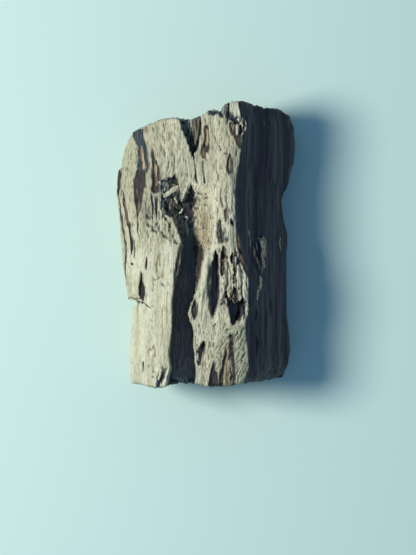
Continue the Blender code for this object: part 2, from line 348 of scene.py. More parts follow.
SCAR_MARKS = (
    # Blue-grey band at the upper left, with the plum scar under it
    Mark(Patch((
        (-25.5, 37.8), (-25.3, 38.8), (-24.3, 39.6), (-22.3, 40.8), (-21.7, 40.5), (-21.5, 38.1),
        (-20.8, 34.8), (-20.2, 31.5), (-19.8, 28.1), (-19.8, 25.5), (-20.5, 24.5), (-21.5, 25.4),
        (-22.3, 26.0), (-23.8, 26.4), (-23.8, 31.5), (-24.0, 34.1), (-24.7, 35.9),
    )), Tone.SLATE, 0.5, 0.9),
    Mark(Patch((
        (-24.4, 26.1), (-23.3, 27.4), (-21.5, 26.8), (-20.7, 25.0), (-20.8, 20.1), (-21.5, 17.8),
        (-22.0, 14.8), (-22.8, 12.1), (-23.5, 9.5), (-23.6, 5.2), (-24.1, 9.5), (-24.6, 12.8),
        (-25.0, 16.1), (-25.2, 19.5), (-25.1, 22.1), (-24.7, 24.8),
    )), Tone.SCAR, 0.5, 0.9),
    # Curved scar beside it
    Mark(Patch((
        (-18.9, 33.0), (-17.8, 31.2), (-16.7, 29.0), (-16.0, 26.1), (-15.8, 23.5), (-15.9, 20.8),
        (-16.4, 18.8), (-17.2, 17.9), (-18.2, 17.3), (-18.9, 18.8), (-18.8, 22.1), (-18.8, 26.1),
        (-18.9, 29.5),
    )), Tone.SCAR, 0.6, 0.9),
    # Two-lobed scar right of the upper wedge
    Mark(Patch((
        (-0.6, 41.1), (0.3, 41.5), (1.1, 40.8), (1.4, 38.8), (1.6, 36.1), (1.4, 33.5), (0.9, 31.8),
        (0.2, 31.9), (-0.3, 30.8), (-0.8, 30.0), (-1.4, 30.8), (-1.7, 32.5), (-1.4, 34.1), (-0.9, 36.5),
        (-0.7, 38.8),
    )), Tone.SCAR, 0.5, 0.9),
    # Knot under the highest splinter, with two plum patches and a dark gap below it
    Mark(Patch((
        (6.9, 46.0), (8.2, 46.2), (9.7, 45.0), (10.6, 44.4), (11.6, 44.6), (11.7, 42.6), (12.0, 41.6),
        (10.3, 40.8), (9.5, 41.8), (9.3, 42.9), (8.2, 43.3), (7.6, 41.4), (6.8, 42.0), (6.7, 44.0),
    )), Tone.SLATE, 1.1, 0.9),
    Mark(Patch((
        (8.1, 42.2), (9.2, 42.8), (9.9, 42.0), (10.4, 40.6), (10.4, 37.7), (9.2, 37.6), (8.5, 38.8),
        (8.0, 40.3),
    )), Tone.SCAR, 0.4, 0.8),
    Mark(Patch((
        (9.6, 38.0), (10.9, 38.3), (12.5, 37.7), (12.7, 35.5), (12.5, 33.2), (11.4, 33.2), (10.5, 34.5),
        (9.9, 36.1),
    )), Tone.SCAR, 0.4, 0.9),
    Mark(Patch((
        (11.0, 42.6), (12.6, 42.4), (13.0, 39.5), (12.4, 38.0), (11.3, 38.2), (11.4, 40.5),
    )), Tone.SCAR, 0.8, 0.7),
    # Long scars at the lower end
    Mark(Patch((
        (8.6, -30.2), (9.2, -30.6), (9.7, -32.8), (10.0, -35.6), (10.1, -39.0), (10.2, -43.1),
        (10.3, -52.7), (4.5, -52.7), (4.7, -45.9), (5.2, -43.1), (5.7, -40.0), (6.6, -36.9), (7.5, -33.8),
        (8.0, -31.4),
    )), Tone.SCAR, 0.8, 1.2),
    Mark(Patch((
        (2.8, -40.0), (3.3, -41.4), (3.7, -43.5), (4.6, -44.8), (5.2, -52.7), (0.4, -52.7), (1.1, -46.6),
        (1.6, -44.5), (2.1, -42.1),
    )), Tone.SCAR, 0.7, 1.2),
    # Small forked pocket at the groove's edge
    Mark(Patch((
        (-3.4, -33.8), (-2.4, -34.9), (-1.3, -33.2), (-0.1, -33.5), (0.1, -34.9), (-0.6, -37.3),
        (-1.3, -39.7), (-2.2, -42.3), (-2.7, -41.1), (-2.9, -37.3),
    )), Tone.SCAR, 1.5, 0.9, Floor(-2.8, -0.6, 0.4, 1.0)),
    # Scar between the slot and the crest
    Mark(Patch((
        (4.9, -2.2), (5.6, -1.0), (7.1, -1.3), (7.0, -3.5), (7.0, -7.0), (6.8, -9.9), (5.7, -11.6),
        (5.1, -9.9), (4.9, -6.0),
    )), Tone.SCAR, 0.9, 0.8),
    # Pale lower slab's corner, split away towards the groove
    Mark(Patch((
        (-17.2, -52.7), (-17.2, -49.7), (-16.5, -46.6), (-15.4, -44.5), (-14.6, -43.1), (-13.2, -41.5),
        (-12.6, -42.8), (-13.0, -44.5), (-13.5, -47.3), (-14.1, -49.3), (-14.1, -52.7),
    )), None, 1.1, 1.4),
    # Ledge on the groove's left wall
    Mark(Patch((
        (-8.0, 1.6), (-7.9, -2.5), (-8.4, -7.3), (-9.4, -10.8), (-11.2, -15.0), (-11.3, -13.2),
        (-11.1, -10.1), (-10.8, -7.3), (-10.3, -4.6), (-9.6, -2.2), (-9.2, 0.2),
    )), Tone.UMBER, 1.0, 1.2),
    # Left side of the long slot
    Mark(Patch((
        (2.9, -2.6), (3.8, -2.8), (4.7, -4.8), (4.8, -8.7), (4.7, -17.7), (4.5, -20.8), (4.0, -23.5),
        (2.1, -26.0), (1.0, -22.8), (0.6, -19.4), (0.4, -16.0), (0.5, -12.8), (0.8, -9.6), (1.1, -7.4),
        (2.1, -6.0), (2.3, -3.4),
    )), Tone.UMBER, 1.0, 1.4),
    # Brown upper part of the forked pocket
    Mark(Patch((
        (9.4, -14.2), (11.1, -14.9), (11.5, -17.0), (11.7, -19.7), (9.4, -20.6), (8.6, -18.7),
        (9.0, -16.3),
    )), Tone.SCAR, 1.2, 0.8),
    # Small scars and pits along the crest
    Mark(Lens(8.2, 27.5, 4.0, 1.3), Tone.SCAR, 0.5, 0.8),
    Mark(Lens(6.8, 46.6, 3.0, 0.9), Tone.UMBER),
    Mark(Lens(7.1, 10.3, 2.8, 0.8), Tone.SCAR, 0.5),
    Mark(Lens(9.3, 7.5, 1.8, 0.6, -18.0), Tone.CRACK_AND_SHADE, 1.0),
    Mark(Lens(6.7, 3.8, 1.0, 0.45), Tone.CRACK_AND_SHADE, 0.7),
    Mark(Lens(7.6, 1.4, 1.1, 0.45), Tone.CRACK_AND_SHADE, 0.7),
    Mark(Lens(6.2, 1.0, 0.8, 0.35), Tone.CRACK_AND_SHADE, 0.5),
    Mark(Patch((
        (10.3, 3.2), (11.4, 1.6), (12.6, -2.0), (14.0, -8.0), (13.3, -9.0), (11.9, -5.6), (10.8, -1.0),
    )), Tone.SCAR, 0.3, 0.8),
    Mark(Lens(9.2, -4.5, 2.2, 0.8), Tone.CRACK_AND_SHADE, 1.2),
    Mark(Lens(6.4, -2.0, 1.3, 0.5), Tone.CRACK_AND_SHADE, 0.8),
    # Grey ring knot at the groove's edge
    Mark(Lens(-4.0, -22.7, 3.7, 1.5), Tone.UMBER, 0.9, 0.5),
    # Small blue-grey pits
    Mark(Lens(2.9, -34.6, 1.2, 0.35), Tone.SLATE, 0.5),
    Mark(Lens(-1.1, 6.0, 0.9, 0.4), Tone.SLATE, 0.5),
    # Dark hollows low on the split side, and its broken lower corner
    Mark(Lens(17.3, -24.7, 2.8, 0.8), Tone.CRACK_AND_SHADE, 0.9),
    Mark(Lens(17.6, -35.4, 4.6, 0.8), Tone.CRACK_AND_SHADE, 0.9),
    Mark(Lens(22.6, -21.6, 3.2, 0.6), Tone.CRACK_AND_SHADE, 0.7),
    Mark(Patch((
        (12.5, -48.7), (13.8, -44.4), (15.6, -43.1), (20.4, -42.8), (26.4, -42.8), (30.0, -44.0),
        (28.0, -52.0), (12.5, -52.0),
    )), None, 0.5, 1.2),
    # Specks
    Mark(Lens(-0.7, -18.5, 0.6, 0.35), Tone.SCAR, 0.4),
    Mark(Lens(2.6, -28.2, 0.5, 0.35), Tone.SCAR, 0.4),
    Mark(Lens(3.4, -27.4, 0.5, 0.35), Tone.SCAR, 0.4),
    Mark(Lens(7.2, -29.5, 0.6, 0.4), Tone.SCAR, 0.4),
    Mark(Lens(-2.4, -28.3, 0.6, 0.3), Tone.SCAR, 0.3),
    Mark(Lens(-19.9, -43.0, 0.5, 0.3), Tone.UMBER, 0.2),
    Mark(Lens(-18.6, -44.0, 0.4, 0.3), Tone.UMBER, 0.2),
    Mark(Lens(-18.6, -45.9, 0.5, 0.3), Tone.UMBER, 0.2),
)

EMBER_MARKS = (
    # Tan and brown streaks in and beside the scars
    Mark(Line(((-22.6, 34.1), (-22.0, 30.8), (-21.5, 27.8), (-21.1, 26.0)), 0.24), Tone.EMBER, -0.3),
    Mark(Line(((-18.1, 29.5), (-17.4, 26.8), (-17.0, 23.8), (-16.9, 21.1)), 0.18), Tone.EMBER, -0.3),
    Mark(Line(((0.2, 40.0), (0.4, 37.5), (0.5, 34.8)), 0.28), Tone.EMBER, -0.3),
    Mark(Lens(8.3, 27.2, 2.2, 0.3), Tone.TAN, -0.2),
    Mark(Lens(-23.4, 14.0, 2.4, 0.5), Tone.RUST),
    Mark(Lens(-24.0, 18.0, 1.6, 0.35), Tone.RUST),
    Mark(Line(((-28.4, 15.5), (-27.8, 12.1), (-26.9, 7.6)), 0.24), Tone.RUST),
    Mark(Line(((9.7, -16.2), (9.6, -18.6), (9.4, -21.2)), 0.42), Tone.RUST, -0.6),
    Mark(Line(((11.1, -15.6), (11.3, -18.6)), 0.24), Tone.RUST, -0.5),
    Mark(Line(((8.2, -32.2), (7.8, -35.6), (7.4, -39.7)), 0.38), Tone.EMBER, -0.4),
    # Olive middle of the long scar
    Mark(Patch((
        (7.2, -38.6), (8.3, -39.3), (8.8, -42.4), (9.0, -52.0), (6.1, -52.0), (6.3, -45.9), (6.6, -42.4),
    )), Tone.TAN, -0.5),
    Mark(Line(((6.4, -3.8), (6.1, -7.0), (6.0, -9.8)), 0.34), Tone.RUST, -0.3),
    Mark(Line(((6.2, -5.6), (6.0, -8.2)), 0.2), Tone.EMBER),
    Mark(Lens(9.2, 40.0, 2.0, 0.5), Tone.RUST),
    Mark(Lens(9.1, 40.4, 0.8, 0.1), Tone.EMBER),
    Mark(Lens(10.8, 36.0, 2.2, 0.7, -12.0), Tone.RUST),
    Mark(Line(((12.3, -3.6), (13.1, -5.6), (13.8, -8.6)), 0.7), Tone.RUST, -0.2),
    Mark(Line(((11.0, 4.0), (11.5, 1.0), (12.0, -1.6)), 0.7), Tone.RUST, -0.2),
    Mark(Lens(-20.8, 40.0, 1.5, 0.7), Tone.RUST),
    Mark(Lens(7.1, 10.3, 1.5, 0.35), Tone.RUST),
    Mark(Lens(-0.9, 32.4, 1.3, 0.4), Tone.RUST),
)

CRACK_MARKS = (
    # Crack beside the highest splinter
    Mark(Line(((7.7, 50.2), (7.9, 48.0), (8.1, 44.6)), 0.4), Tone.SCAR, 0.7, 0.4),
    # The plum scar runs out in a dark line
    Mark(Line(((-23.5, 10.0), (-23.5, 6.0), (-23.3, 2.2)), 0.26), Tone.SCAR, 0.3, 0.3),
    # Dark line along the wedge's right side, and the crack that runs on below it
    Mark(Line(((-1.9, 44.6), (-2.0, 39.9), (-2.6, 34.7), (-3.5, 31.9)), 0.5), Tone.SCAR, 1.4, 0.5),
    Mark(Line((
        (-3.9, 31.6), (-3.7, 29.2), (-3.4, 27.8), (-3.3, 24.8), (-3.3, 21.5),
    ), 0.3), Tone.CRACK_AND_SHADE, 0.8, 0.3),
    Mark(Line((
        (2.5, 40.3), (3.2, 37.2), (4.1, 34.5), (5.1, 33.0), (6.3, 31.7), (7.6, 30.9),
    ), 0.2), Tone.CRACK_AND_SHADE, 0.4, 0.3),
    Mark(Line(((-0.9, 29.9), (-0.8, 25.3), (-0.4, 21.1)), 0.24), Tone.CRACK_AND_SHADE, 0.5, 0.3),
    Mark(Line(((3.4, 29.3), (3.9, 25.3), (4.4, 22.5)), 0.2), Tone.CRACK_AND_SHADE, 0.3, 0.3),
    Mark(Line(((5.6, 22.2), (5.3, 19.0), (5.6, 14.3), (6.2, 12.2)), 0.26), Tone.CRACK_AND_SHADE, 0.4, 0.3),
    Mark(Line(((7.0, 16.5), (7.4, 14.2), (8.3, 10.8)), 0.2), Tone.CRACK_AND_SHADE, 0.3, 0.3),
    # Dark lines along the left edge
    Mark(Line((
        (-30.5, 25.0), (-30.6, 18.8), (-30.0, 13.8), (-29.0, 7.1), (-27.9, -0.1), (-27.7, -6.0),
        (-27.7, -12.3),
    ), 0.3), Tone.CRACK_AND_SHADE, 0.6, 0.3),
    Mark(Line((
        (-28.9, 18.6), (-28.0, 12.8), (-26.7, 6.1), (-25.8, 0.5), (-25.8, -3.0),
    ), 0.46), Tone.SCAR, 0.8, 0.4),
    Mark(Line(((-24.9, 2.4), (-24.7, -4.4)), 0.26), Tone.CRACK_AND_SHADE, 0.4, 0.3),
    # Grey and dark lines at the slab's broken upper edge and in it
    Mark(Line(((-19.0, 17.5), (-18.5, 14.6), (-18.5, 11.0), (-18.2, 6.2)), 0.42), Tone.SLATE, 0.6, 0.4),
    Mark(Line(((-20.9, 14.4), (-20.2, 11.6), (-20.3, 8.6)), 0.24), Tone.UMBER, 0.3, 0.3),
    Mark(Line(((-17.1, 16.2), (-17.1, 12.4), (-17.2, 9.0)), 0.36), Tone.SLATE, 0.5, 0.4),
    Mark(Line(((-15.9, 15.6), (-15.5, 12.6), (-14.4, 10.0)), 0.32), Tone.SLATE, 0.4, 0.3),
    Mark(Line(((-14.6, 10.4), (-13.5, 8.0), (-12.3, 5.4)), 0.26), Tone.UMBER, 0.35, 0.3),
    Mark(Line(((-19.6, 12.8), (-19.2, 9.6)), 0.2), Tone.UMBER, 0.3, 0.3),
    Mark(Line(((-18.7, 6.6), (-17.8, 5.2), (-16.6, 5.4)), 0.3), Tone.CRACK_AND_SHADE, 0.5, 0.4),
    Mark(Line(((-11.0, 1.2), (-9.7, -0.2)), 0.34), Tone.CRACK_AND_SHADE, 0.6, 0.4),
    Mark(Line(((-26.1, -6.1), (-25.2, -7.5)), 0.4), Tone.CRACK_AND_SHADE, 0.6, 0.4),
    Mark(Line(((-20.6, -4.3), (-20.7, -6.4), (-20.9, -9.4)), 0.36), Tone.CRACK_AND_SHADE, 0.9, 0.4),
    Mark(Line((
        (-23.8, -19.2), (-22.4, -19.2), (-21.0, -20.2), (-19.2, -22.2),
    ), 0.26), Tone.CRACK_AND_SHADE, 0.4, 0.3),
    Mark(Line(((-22.0, -41.1), (-21.8, -43.0), (-21.7, -45.2)), 0.28), Tone.CRACK_AND_SHADE, 0.5, 0.3),
    Mark(Line((
        (-19.7, -39.6), (-19.9, -37.8), (-19.4, -36.4), (-18.6, -36.0), (-17.9, -37.0), (-17.6, -38.6),
        (-17.9, -39.8),
    ), 0.34), Tone.TAN, 0.3, 0.5),
    # Cracks on the ridge, and painted shade in the slot and over the forked pocket's right side
    Mark(Line((
        (10.1, -2.9), (10.2, -5.7), (10.0, -8.7), (9.9, -11.6), (9.8, -14.4),
    ), 0.34), Tone.CRACK_AND_SHADE, 0.9, 0.4),
    Mark(Line(((5.7, -18.4), (6.6, -20.2), (7.3, -21.9)), 0.22), Tone.CRACK_AND_SHADE, 0.4, 0.3),
    Mark(Line(((5.1, -20.3), (6.3, -19.8)), 0.26), Tone.CRACK_AND_SHADE, 0.4, 0.3),
    # Painted shade: dark colour without depth, in the slot's right part and over the forked pocket's right
    # side
    Mark(Line(((3.6, -3.2), (4.2, -7.0), (4.2, -15.0), (4.0, -21.0)), 0.6), Tone.CRACK_AND_SHADE),
    Mark(Line(((12.3, -19.0), (12.5, -21.6), (11.9, -24.0), (10.8, -26.6)), 1.15), Tone.CRACK_AND_SHADE),
)

STAIN_MARKS = (
    # Pale fibres left standing on the slab's split corner
    Mark(Line(((-14.9, -43.0), (-15.6, -44.9), (-16.3, -47.2)), 0.3), Tone.PALE, -0.7, 0.4),
    Mark(Line(((-13.0, -43.1), (-13.7, -45.9), (-14.6, -49.6)), 0.34), Tone.PALE, -1.0, 0.4),
    # Smooth tip of the highest splinter
    Mark(Lens(9.9, 47.9, 2.6, 1.1), Tone.PALE),
    # Boss of the slab's knot
    Mark(Lens(-18.6, -38.2, 1.0, 0.6), Tone.PALE),
    # Slate-grey middle of the slab's split corner
    Mark(Lens(-15.6, -46.4, 4.4, 1.3, 16.0), Tone.SLATE),
    # Dark stripe on the left rim
    Mark(Line(((-30.2, 26.2), (-30.3, 22.4), (-30.2, 17.8)), 0.55), Tone.SCAR),
    # Pale flecks on the forked pocket's left side
    Mark(Line(((-2.9, -34.7), (-2.6, -36.2)), 0.26), Tone.PALE, -0.4, 0.3),
    Mark(Line(((-2.6, -37.6), (-2.4, -39.6)), 0.22), Tone.PALE, -0.4, 0.3),
    # Paler fibres on the split side, warm and bright as painted light where they stand up into the light
    Mark(Patch((
        (18.2, 2.2), (19.4, 2.8), (21.0, 2.0), (21.0, -1.6), (20.4, -2.6), (19.6, -1.0), (18.8, -0.4),
    )), Tone.OLIVE_HIGHLIGHT),
    Mark(Line(((20.5, -0.8), (20.2, -3.4), (20.1, -5.6), (19.8, -8.6)), 0.62), Tone.OLIVE_HIGHLIGHT, -0.3, 0.6),
    Mark(Line(((19.9, -7.0), (19.2, -11.0), (18.9, -14.6), (17.9, -19.4)), 0.36), Tone.OLIVE_HIGHLIGHT, -0.3, 0.6),
    Mark(Line(((16.9, -1.6), (17.3, -3.5), (18.3, -6.6), (19.2, -9.9)), 0.34), Tone.OLIVE_HIGHLIGHT, -0.3, 0.5),
    Mark(Line(((25.8, 2.4), (25.9, -1.8)), 0.2), Tone.OLIVE_HIGHLIGHT, -0.3, 0.4),
    Mark(Line(((14.8, 5.5), (15.1, 2.6), (15.6, -0.5)), 0.22), Tone.OLIVE_HIGHLIGHT, -0.4, 0.5),
    # Low ridges in the middle of the hollow and under it
    Mark(Lens(-12.1, 13.4, 4.0, 1.3, 6.0), None, -2.2, 1.1),
    Mark(Lens(-12.0, 13.8, 3.4, 0.3, 6.0), Tone.TAN),
    Mark(Line(((-8.2, 7.4), (-7.9, 5.2), (-7.2, 2.8)), 0.3), Tone.TAN, -0.8, 0.5),
    # Blue-grey fibre low in the groove's head
    Mark(Line(((-6.7, 9.4), (-6.5, 6.6), (-6.3, 3.8)), 0.3), Tone.PALE, -1.2, 0.5),
    # Thin brown stains along the lower slab
    Mark(Line(((-16.7, -3.0), (-17.0, -7.0), (-17.2, -10.6)), 0.34), Tone.TAN, 0.25, 0.4),
    Mark(Line(((-16.0, -2.6), (-16.3, -8.4)), 0.24), Tone.TAN, 0.25, 0.3),
    Mark(Line(((-14.6, -4.2), (-14.6, -8.8), (-15.0, -12.1)), 0.24), Tone.TAN, 0.25, 0.3),
    Mark(Line(((-15.2, -19.3), (-14.9, -26.2), (-15.2, -35.0)), 0.2), Tone.TAN, 0.2, 0.3),
    Mark(Line(((-13.5, -15.8), (-13.7, -29.7)), 0.2), Tone.TAN, 0.25, 0.3),
    Mark(Line((
        (-18.4, -11.4), (-17.4, -12.4), (-16.6, -12.2), (-15.2, -11.0),
    ), 0.34), Tone.TAN, 0.2, 0.4),
    Mark(Line(((-15.4, -9.6), (-15.0, -12.4)), 0.3), Tone.TAN, 0.2, 0.4),
    # Open end of the groove
    Mark(Patch((
        (-13.0, -46.4), (-9.0, -47.2), (-4.0, -45.6), (-3.0, -52.0), (-14.0, -52.0),
    )), Tone.UMBER),
    # Dark lip of the notch, painted shade along its edge
    Mark(Line(((-27.6, -18.7), (-25.4, -18.8), (-23.6, -18.8)), 0.26), Tone.UMBER, 0.2, 0.4),
    Mark(Line(((-24.2, -19.6), (-23.3, -20.2), (-23.4, -21.2)), 0.3), Tone.UMBER, 0.3, 0.4),
    # Speck on the slab
    Mark(Lens(-14.7, -13.8, 0.5, 0.4), Tone.SCAR, 0.3),
    # Fibres in the wedge's floor, and one broken off beside the knot
    Mark(Line(((-5.3, 44.0), (-5.1, 42.4), (-4.9, 41.0)), 0.34), Tone.PALE, -0.8, 0.5),
    Mark(Line(((-3.4, 43.0), (-3.3, 38.6), (-3.6, 34.6)), 0.24), None, -0.4, 0.4),
    Mark(Line(((10.7, 41.1), (10.8, 38.3)), 0.3), Tone.PALE, -0.4, 0.3),
    Mark(Line(((11.4, 43.7), (11.5, 42.6)), 0.26), Tone.PALE, -0.4, 0.3),
)

HOLLOW_MARKS = (
    # Darkest parts of the hollow, the gap at its top and its right lobe, laid in dark colour as painted
    # shade
    Mark(Patch((
        (-11.6, 21.4), (-11.5, 23.4), (-11.2, 24.8), (-10.4, 25.1), (-9.8, 22.6), (-9.3, 20.0),
        (-10.4, 21.0),
    )), Tone.CRACK_AND_SHADE),
    Mark(Patch((
        (-7.6, 14.0), (-6.6, 16.2), (-5.4, 17.4), (-4.2, 17.2), (-4.1, 12.8), (-4.0, 9.6), (-5.0, 8.6),
        (-6.4, 9.6), (-7.6, 11.0),
    )), Tone.CRACK_AND_SHADE),
    # Gap behind the broken strip of the left edge
    Mark(Patch((
        (-22.4, -10.0), (-21.8, -10.3), (-21.7, -12.2), (-21.3, -13.9), (-21.0, -14.8), (-21.1, -17.0),
        (-21.6, -19.0), (-23.0, -19.0), (-23.5, -17.7), (-23.3, -15.6), (-22.9, -13.5), (-22.7, -11.8),
    )), Tone.SCAR, 1.6, 0.5),
    # Long slot beside the groove, deepest and darkest at its right
    Mark(Patch((
        (2.9, -2.6), (3.8, -2.8), (4.7, -4.8), (4.8, -8.7), (4.7, -17.7), (4.5, -20.8), (3.9, -23.6),
        (2.3, -25.2), (1.6, -22.5), (1.5, -19.0), (1.8, -15.0), (1.8, -12.2), (2.3, -5.3),
    )), Tone.HOLLOW, 4.2, 0.7),
    # Forked pocket under the crest
    Mark(Patch((
        (6.9, -17.0), (8.1, -18.4), (9.5, -20.0), (11.1, -20.2), (11.7, -19.0), (13.1, -18.8),
        (13.2, -21.8), (12.6, -24.2), (11.5, -26.6), (9.8, -28.6), (8.5, -26.8), (8.0, -24.2),
        (7.7, -21.8), (7.1, -19.7), (6.7, -18.0),
    )), Tone.HOLLOW, 5.4, 0.5),
    # Gap behind the highest splinter of the upper end
    Mark(Patch((
        (0.6, 45.7), (2.4, 52.0), (6.2, 52.0), (6.4, 43.8), (5.3, 44.1), (4.1, 44.6), (2.2, 45.2),
        (0.8, 45.5),
    )), Tone.HOLLOW, 6.0, 0.6),
)


@dataclass(frozen=True)
class Wedge:
    """The wedge split out of the upper end, deepest along its left side."""

    form: Patch = Patch((
        (-10.2, 47.0), (-9.3, 43.5), (-7.7, 39.1), (-5.3, 32.3), (-4.4, 31.3), (-3.0, 32.1), (-1.6, 38.1),
        (-1.4, 41.7), (-2.2, 47.0),
    ))
    left: Points = ((31.3, -4.8), (39.1, -7.7), (43.5, -9.3), (47.0, -10.2))
    right: Points = ((31.3, -3.4), (38.1, -1.6), (41.7, -1.4), (47.0, -2.2))
    depth: float = 6.0
    right_share: float = 0.35
    wall: float = 0.5
    # Share of the way across at which its shaded left part ends; that part takes the rot colour as painted
    # shade
    shade_way: Range = (0.54, 0.37)

    def way(self, x: Array, y: Array) -> Array:
        """How far each place is from the wedge's left side to its right, from 0 to 1."""
        left = follow(self.left, y)
        return np.clip((x - left) / (follow(self.right, y) - left), 0.0, 1.0)

    def depth_at(self, x: Array, y: Array) -> Array:
        """Depth of the wedge below the worn surface, in millimetres."""
        share = blend(1.0, self.right_share, self.way(x, y))
        return self.depth * share * ease(0.0, self.wall, self.form.inside(x, y))


@dataclass(frozen=True)
class Groove:
    """The groove that opens at the lower end, the rotted hollow at its head and its bank."""

    form: Patch = Patch((
        (-14.6, -56.0), (-14.1, -49.3), (-13.0, -44.5), (-12.7, -42.8), (-13.2, -38.5), (-12.5, -32.8),
        (-12.1, -27.6), (-11.7, -20.0), (-11.5, -14.5), (-10.0, -10.6), (-8.8, -6.0), (-8.2, -0.6),
        (-9.7, 3.9), (-11.9, 8.7), (-14.1, 10.8), (-15.9, 13.4), (-15.9, 17.2), (-16.2, 22.0),
        (-14.6, 23.2), (-11.6, 23.8), (-10.6, 24.9), (-9.4, 21.8), (-8.9, 18.3), (-8.2, 14.4),
        (-7.0, 17.4), (-5.2, 21.3), (-3.9, 18.1), (-4.2, 10.3), (-3.9, 3.0), (-3.0, -2.0), (-2.6, -8.0),
        (-3.0, -13.0), (-3.5, -17.6), (-4.6, -19.4), (-5.8, -22.0), (-5.8, -24.4), (-4.8, -27.4),
        (-4.1, -30.0), (-3.6, -37.0), (-3.0, -44.0), (-3.0, -56.0),
    ))
    floor: Points = (
        (-50.0, 15.0), (-30.0, 15.0), (0.0, 12.5), (7.0, 11.0), (12.0, 9.0), (16.0, 6.4), (20.0, 5.0),
        (25.0, 4.6),
    )
    head_y: Range = (2.0, 8.0)
    mouth_y: Range = (-49.5, -45.0)
    head_floor: Floor = Floor(-15.5, -9.3, 0.14, 1.0)
    middle: Points = ((-56.0, -9.5), (-20.0, -8.0), (0.0, -6.5), (12.0, -9.5), (25.0, -11.0))
    left_wall: float = 0.9
    right_wall: float = 0.6
    # How narrow the change from the left wall to the right one is
    middle_fade: float = 1.5
    # The bank's foot and crest as (y, x)
    bank_foot: Points = (
        (-19.0, -4.4), (-10.0, -3.6), (-2.0, -3.6), (3.0, -4.2), (18.0, -4.2), (22.0, -5.0),
    )
    bank_crest: Points = (
        (-19.0, -3.9), (-15.8, -3.0), (-7.1, -0.8), (-1.9, 0.1), (0.6, 2.2), (3.0, 3.0), (10.3, 3.0),
        (16.0, 2.0), (22.0, -3.0),
    )
    bank_depth: float = 9.0
    bank_curve: float = 1.3
    bank_narrowest: float = 0.4
    # Where the bank fades in from below, from above and from the left
    bank_low_y: Range = (-19.0, -16.0)
    bank_high_y: Range = (22.0, 13.0)
    bank_left_x: Range = (-7.0, -5.0)

    def floor_depth(self, x: Array, y: Array) -> Array:
        """Depth of the groove itself.

        Args:
            x, y: Places across the grain and along it.

        Returns:
            Depth in millimetres.
        """
        right = ease(-self.middle_fade, self.middle_fade, x - follow(self.middle, y))
        wall = blend(self.left_wall, self.right_wall, right)
        head = blend(1.0, self.head_floor.share(x), ease(*self.head_y, y))
        return follow(self.floor, y) * head * ease(0.0, 1.0, self.form.inside(x, y) / wall)

    def bank_share(self, x: Array, y: Array) -> Array:
        """How far down the bank each place lies.

        Args:
            x, y: Places across the grain and along it.

        Returns:
            A share from 0 on the bank's crest to 1 at its foot.
        """
        crest = follow(self.bank_crest, y)
        share = (crest - x) / np.maximum(crest - follow(self.bank_foot, y), self.bank_narrowest)
        reach = ease(*self.bank_low_y, y) * ease(*self.bank_high_y, y) * ease(*self.bank_left_x, x)
        return np.clip(share, 0.0, 1.0) * reach

    def depth_at(self, x: Array, y: Array) -> Array:
        """Depth of the groove and its bank below the worn surface, in millimetres."""
        bank = self.bank_depth * self.bank_share(x, y) ** self.bank_curve
        return np.maximum(self.floor_depth(x, y), bank)


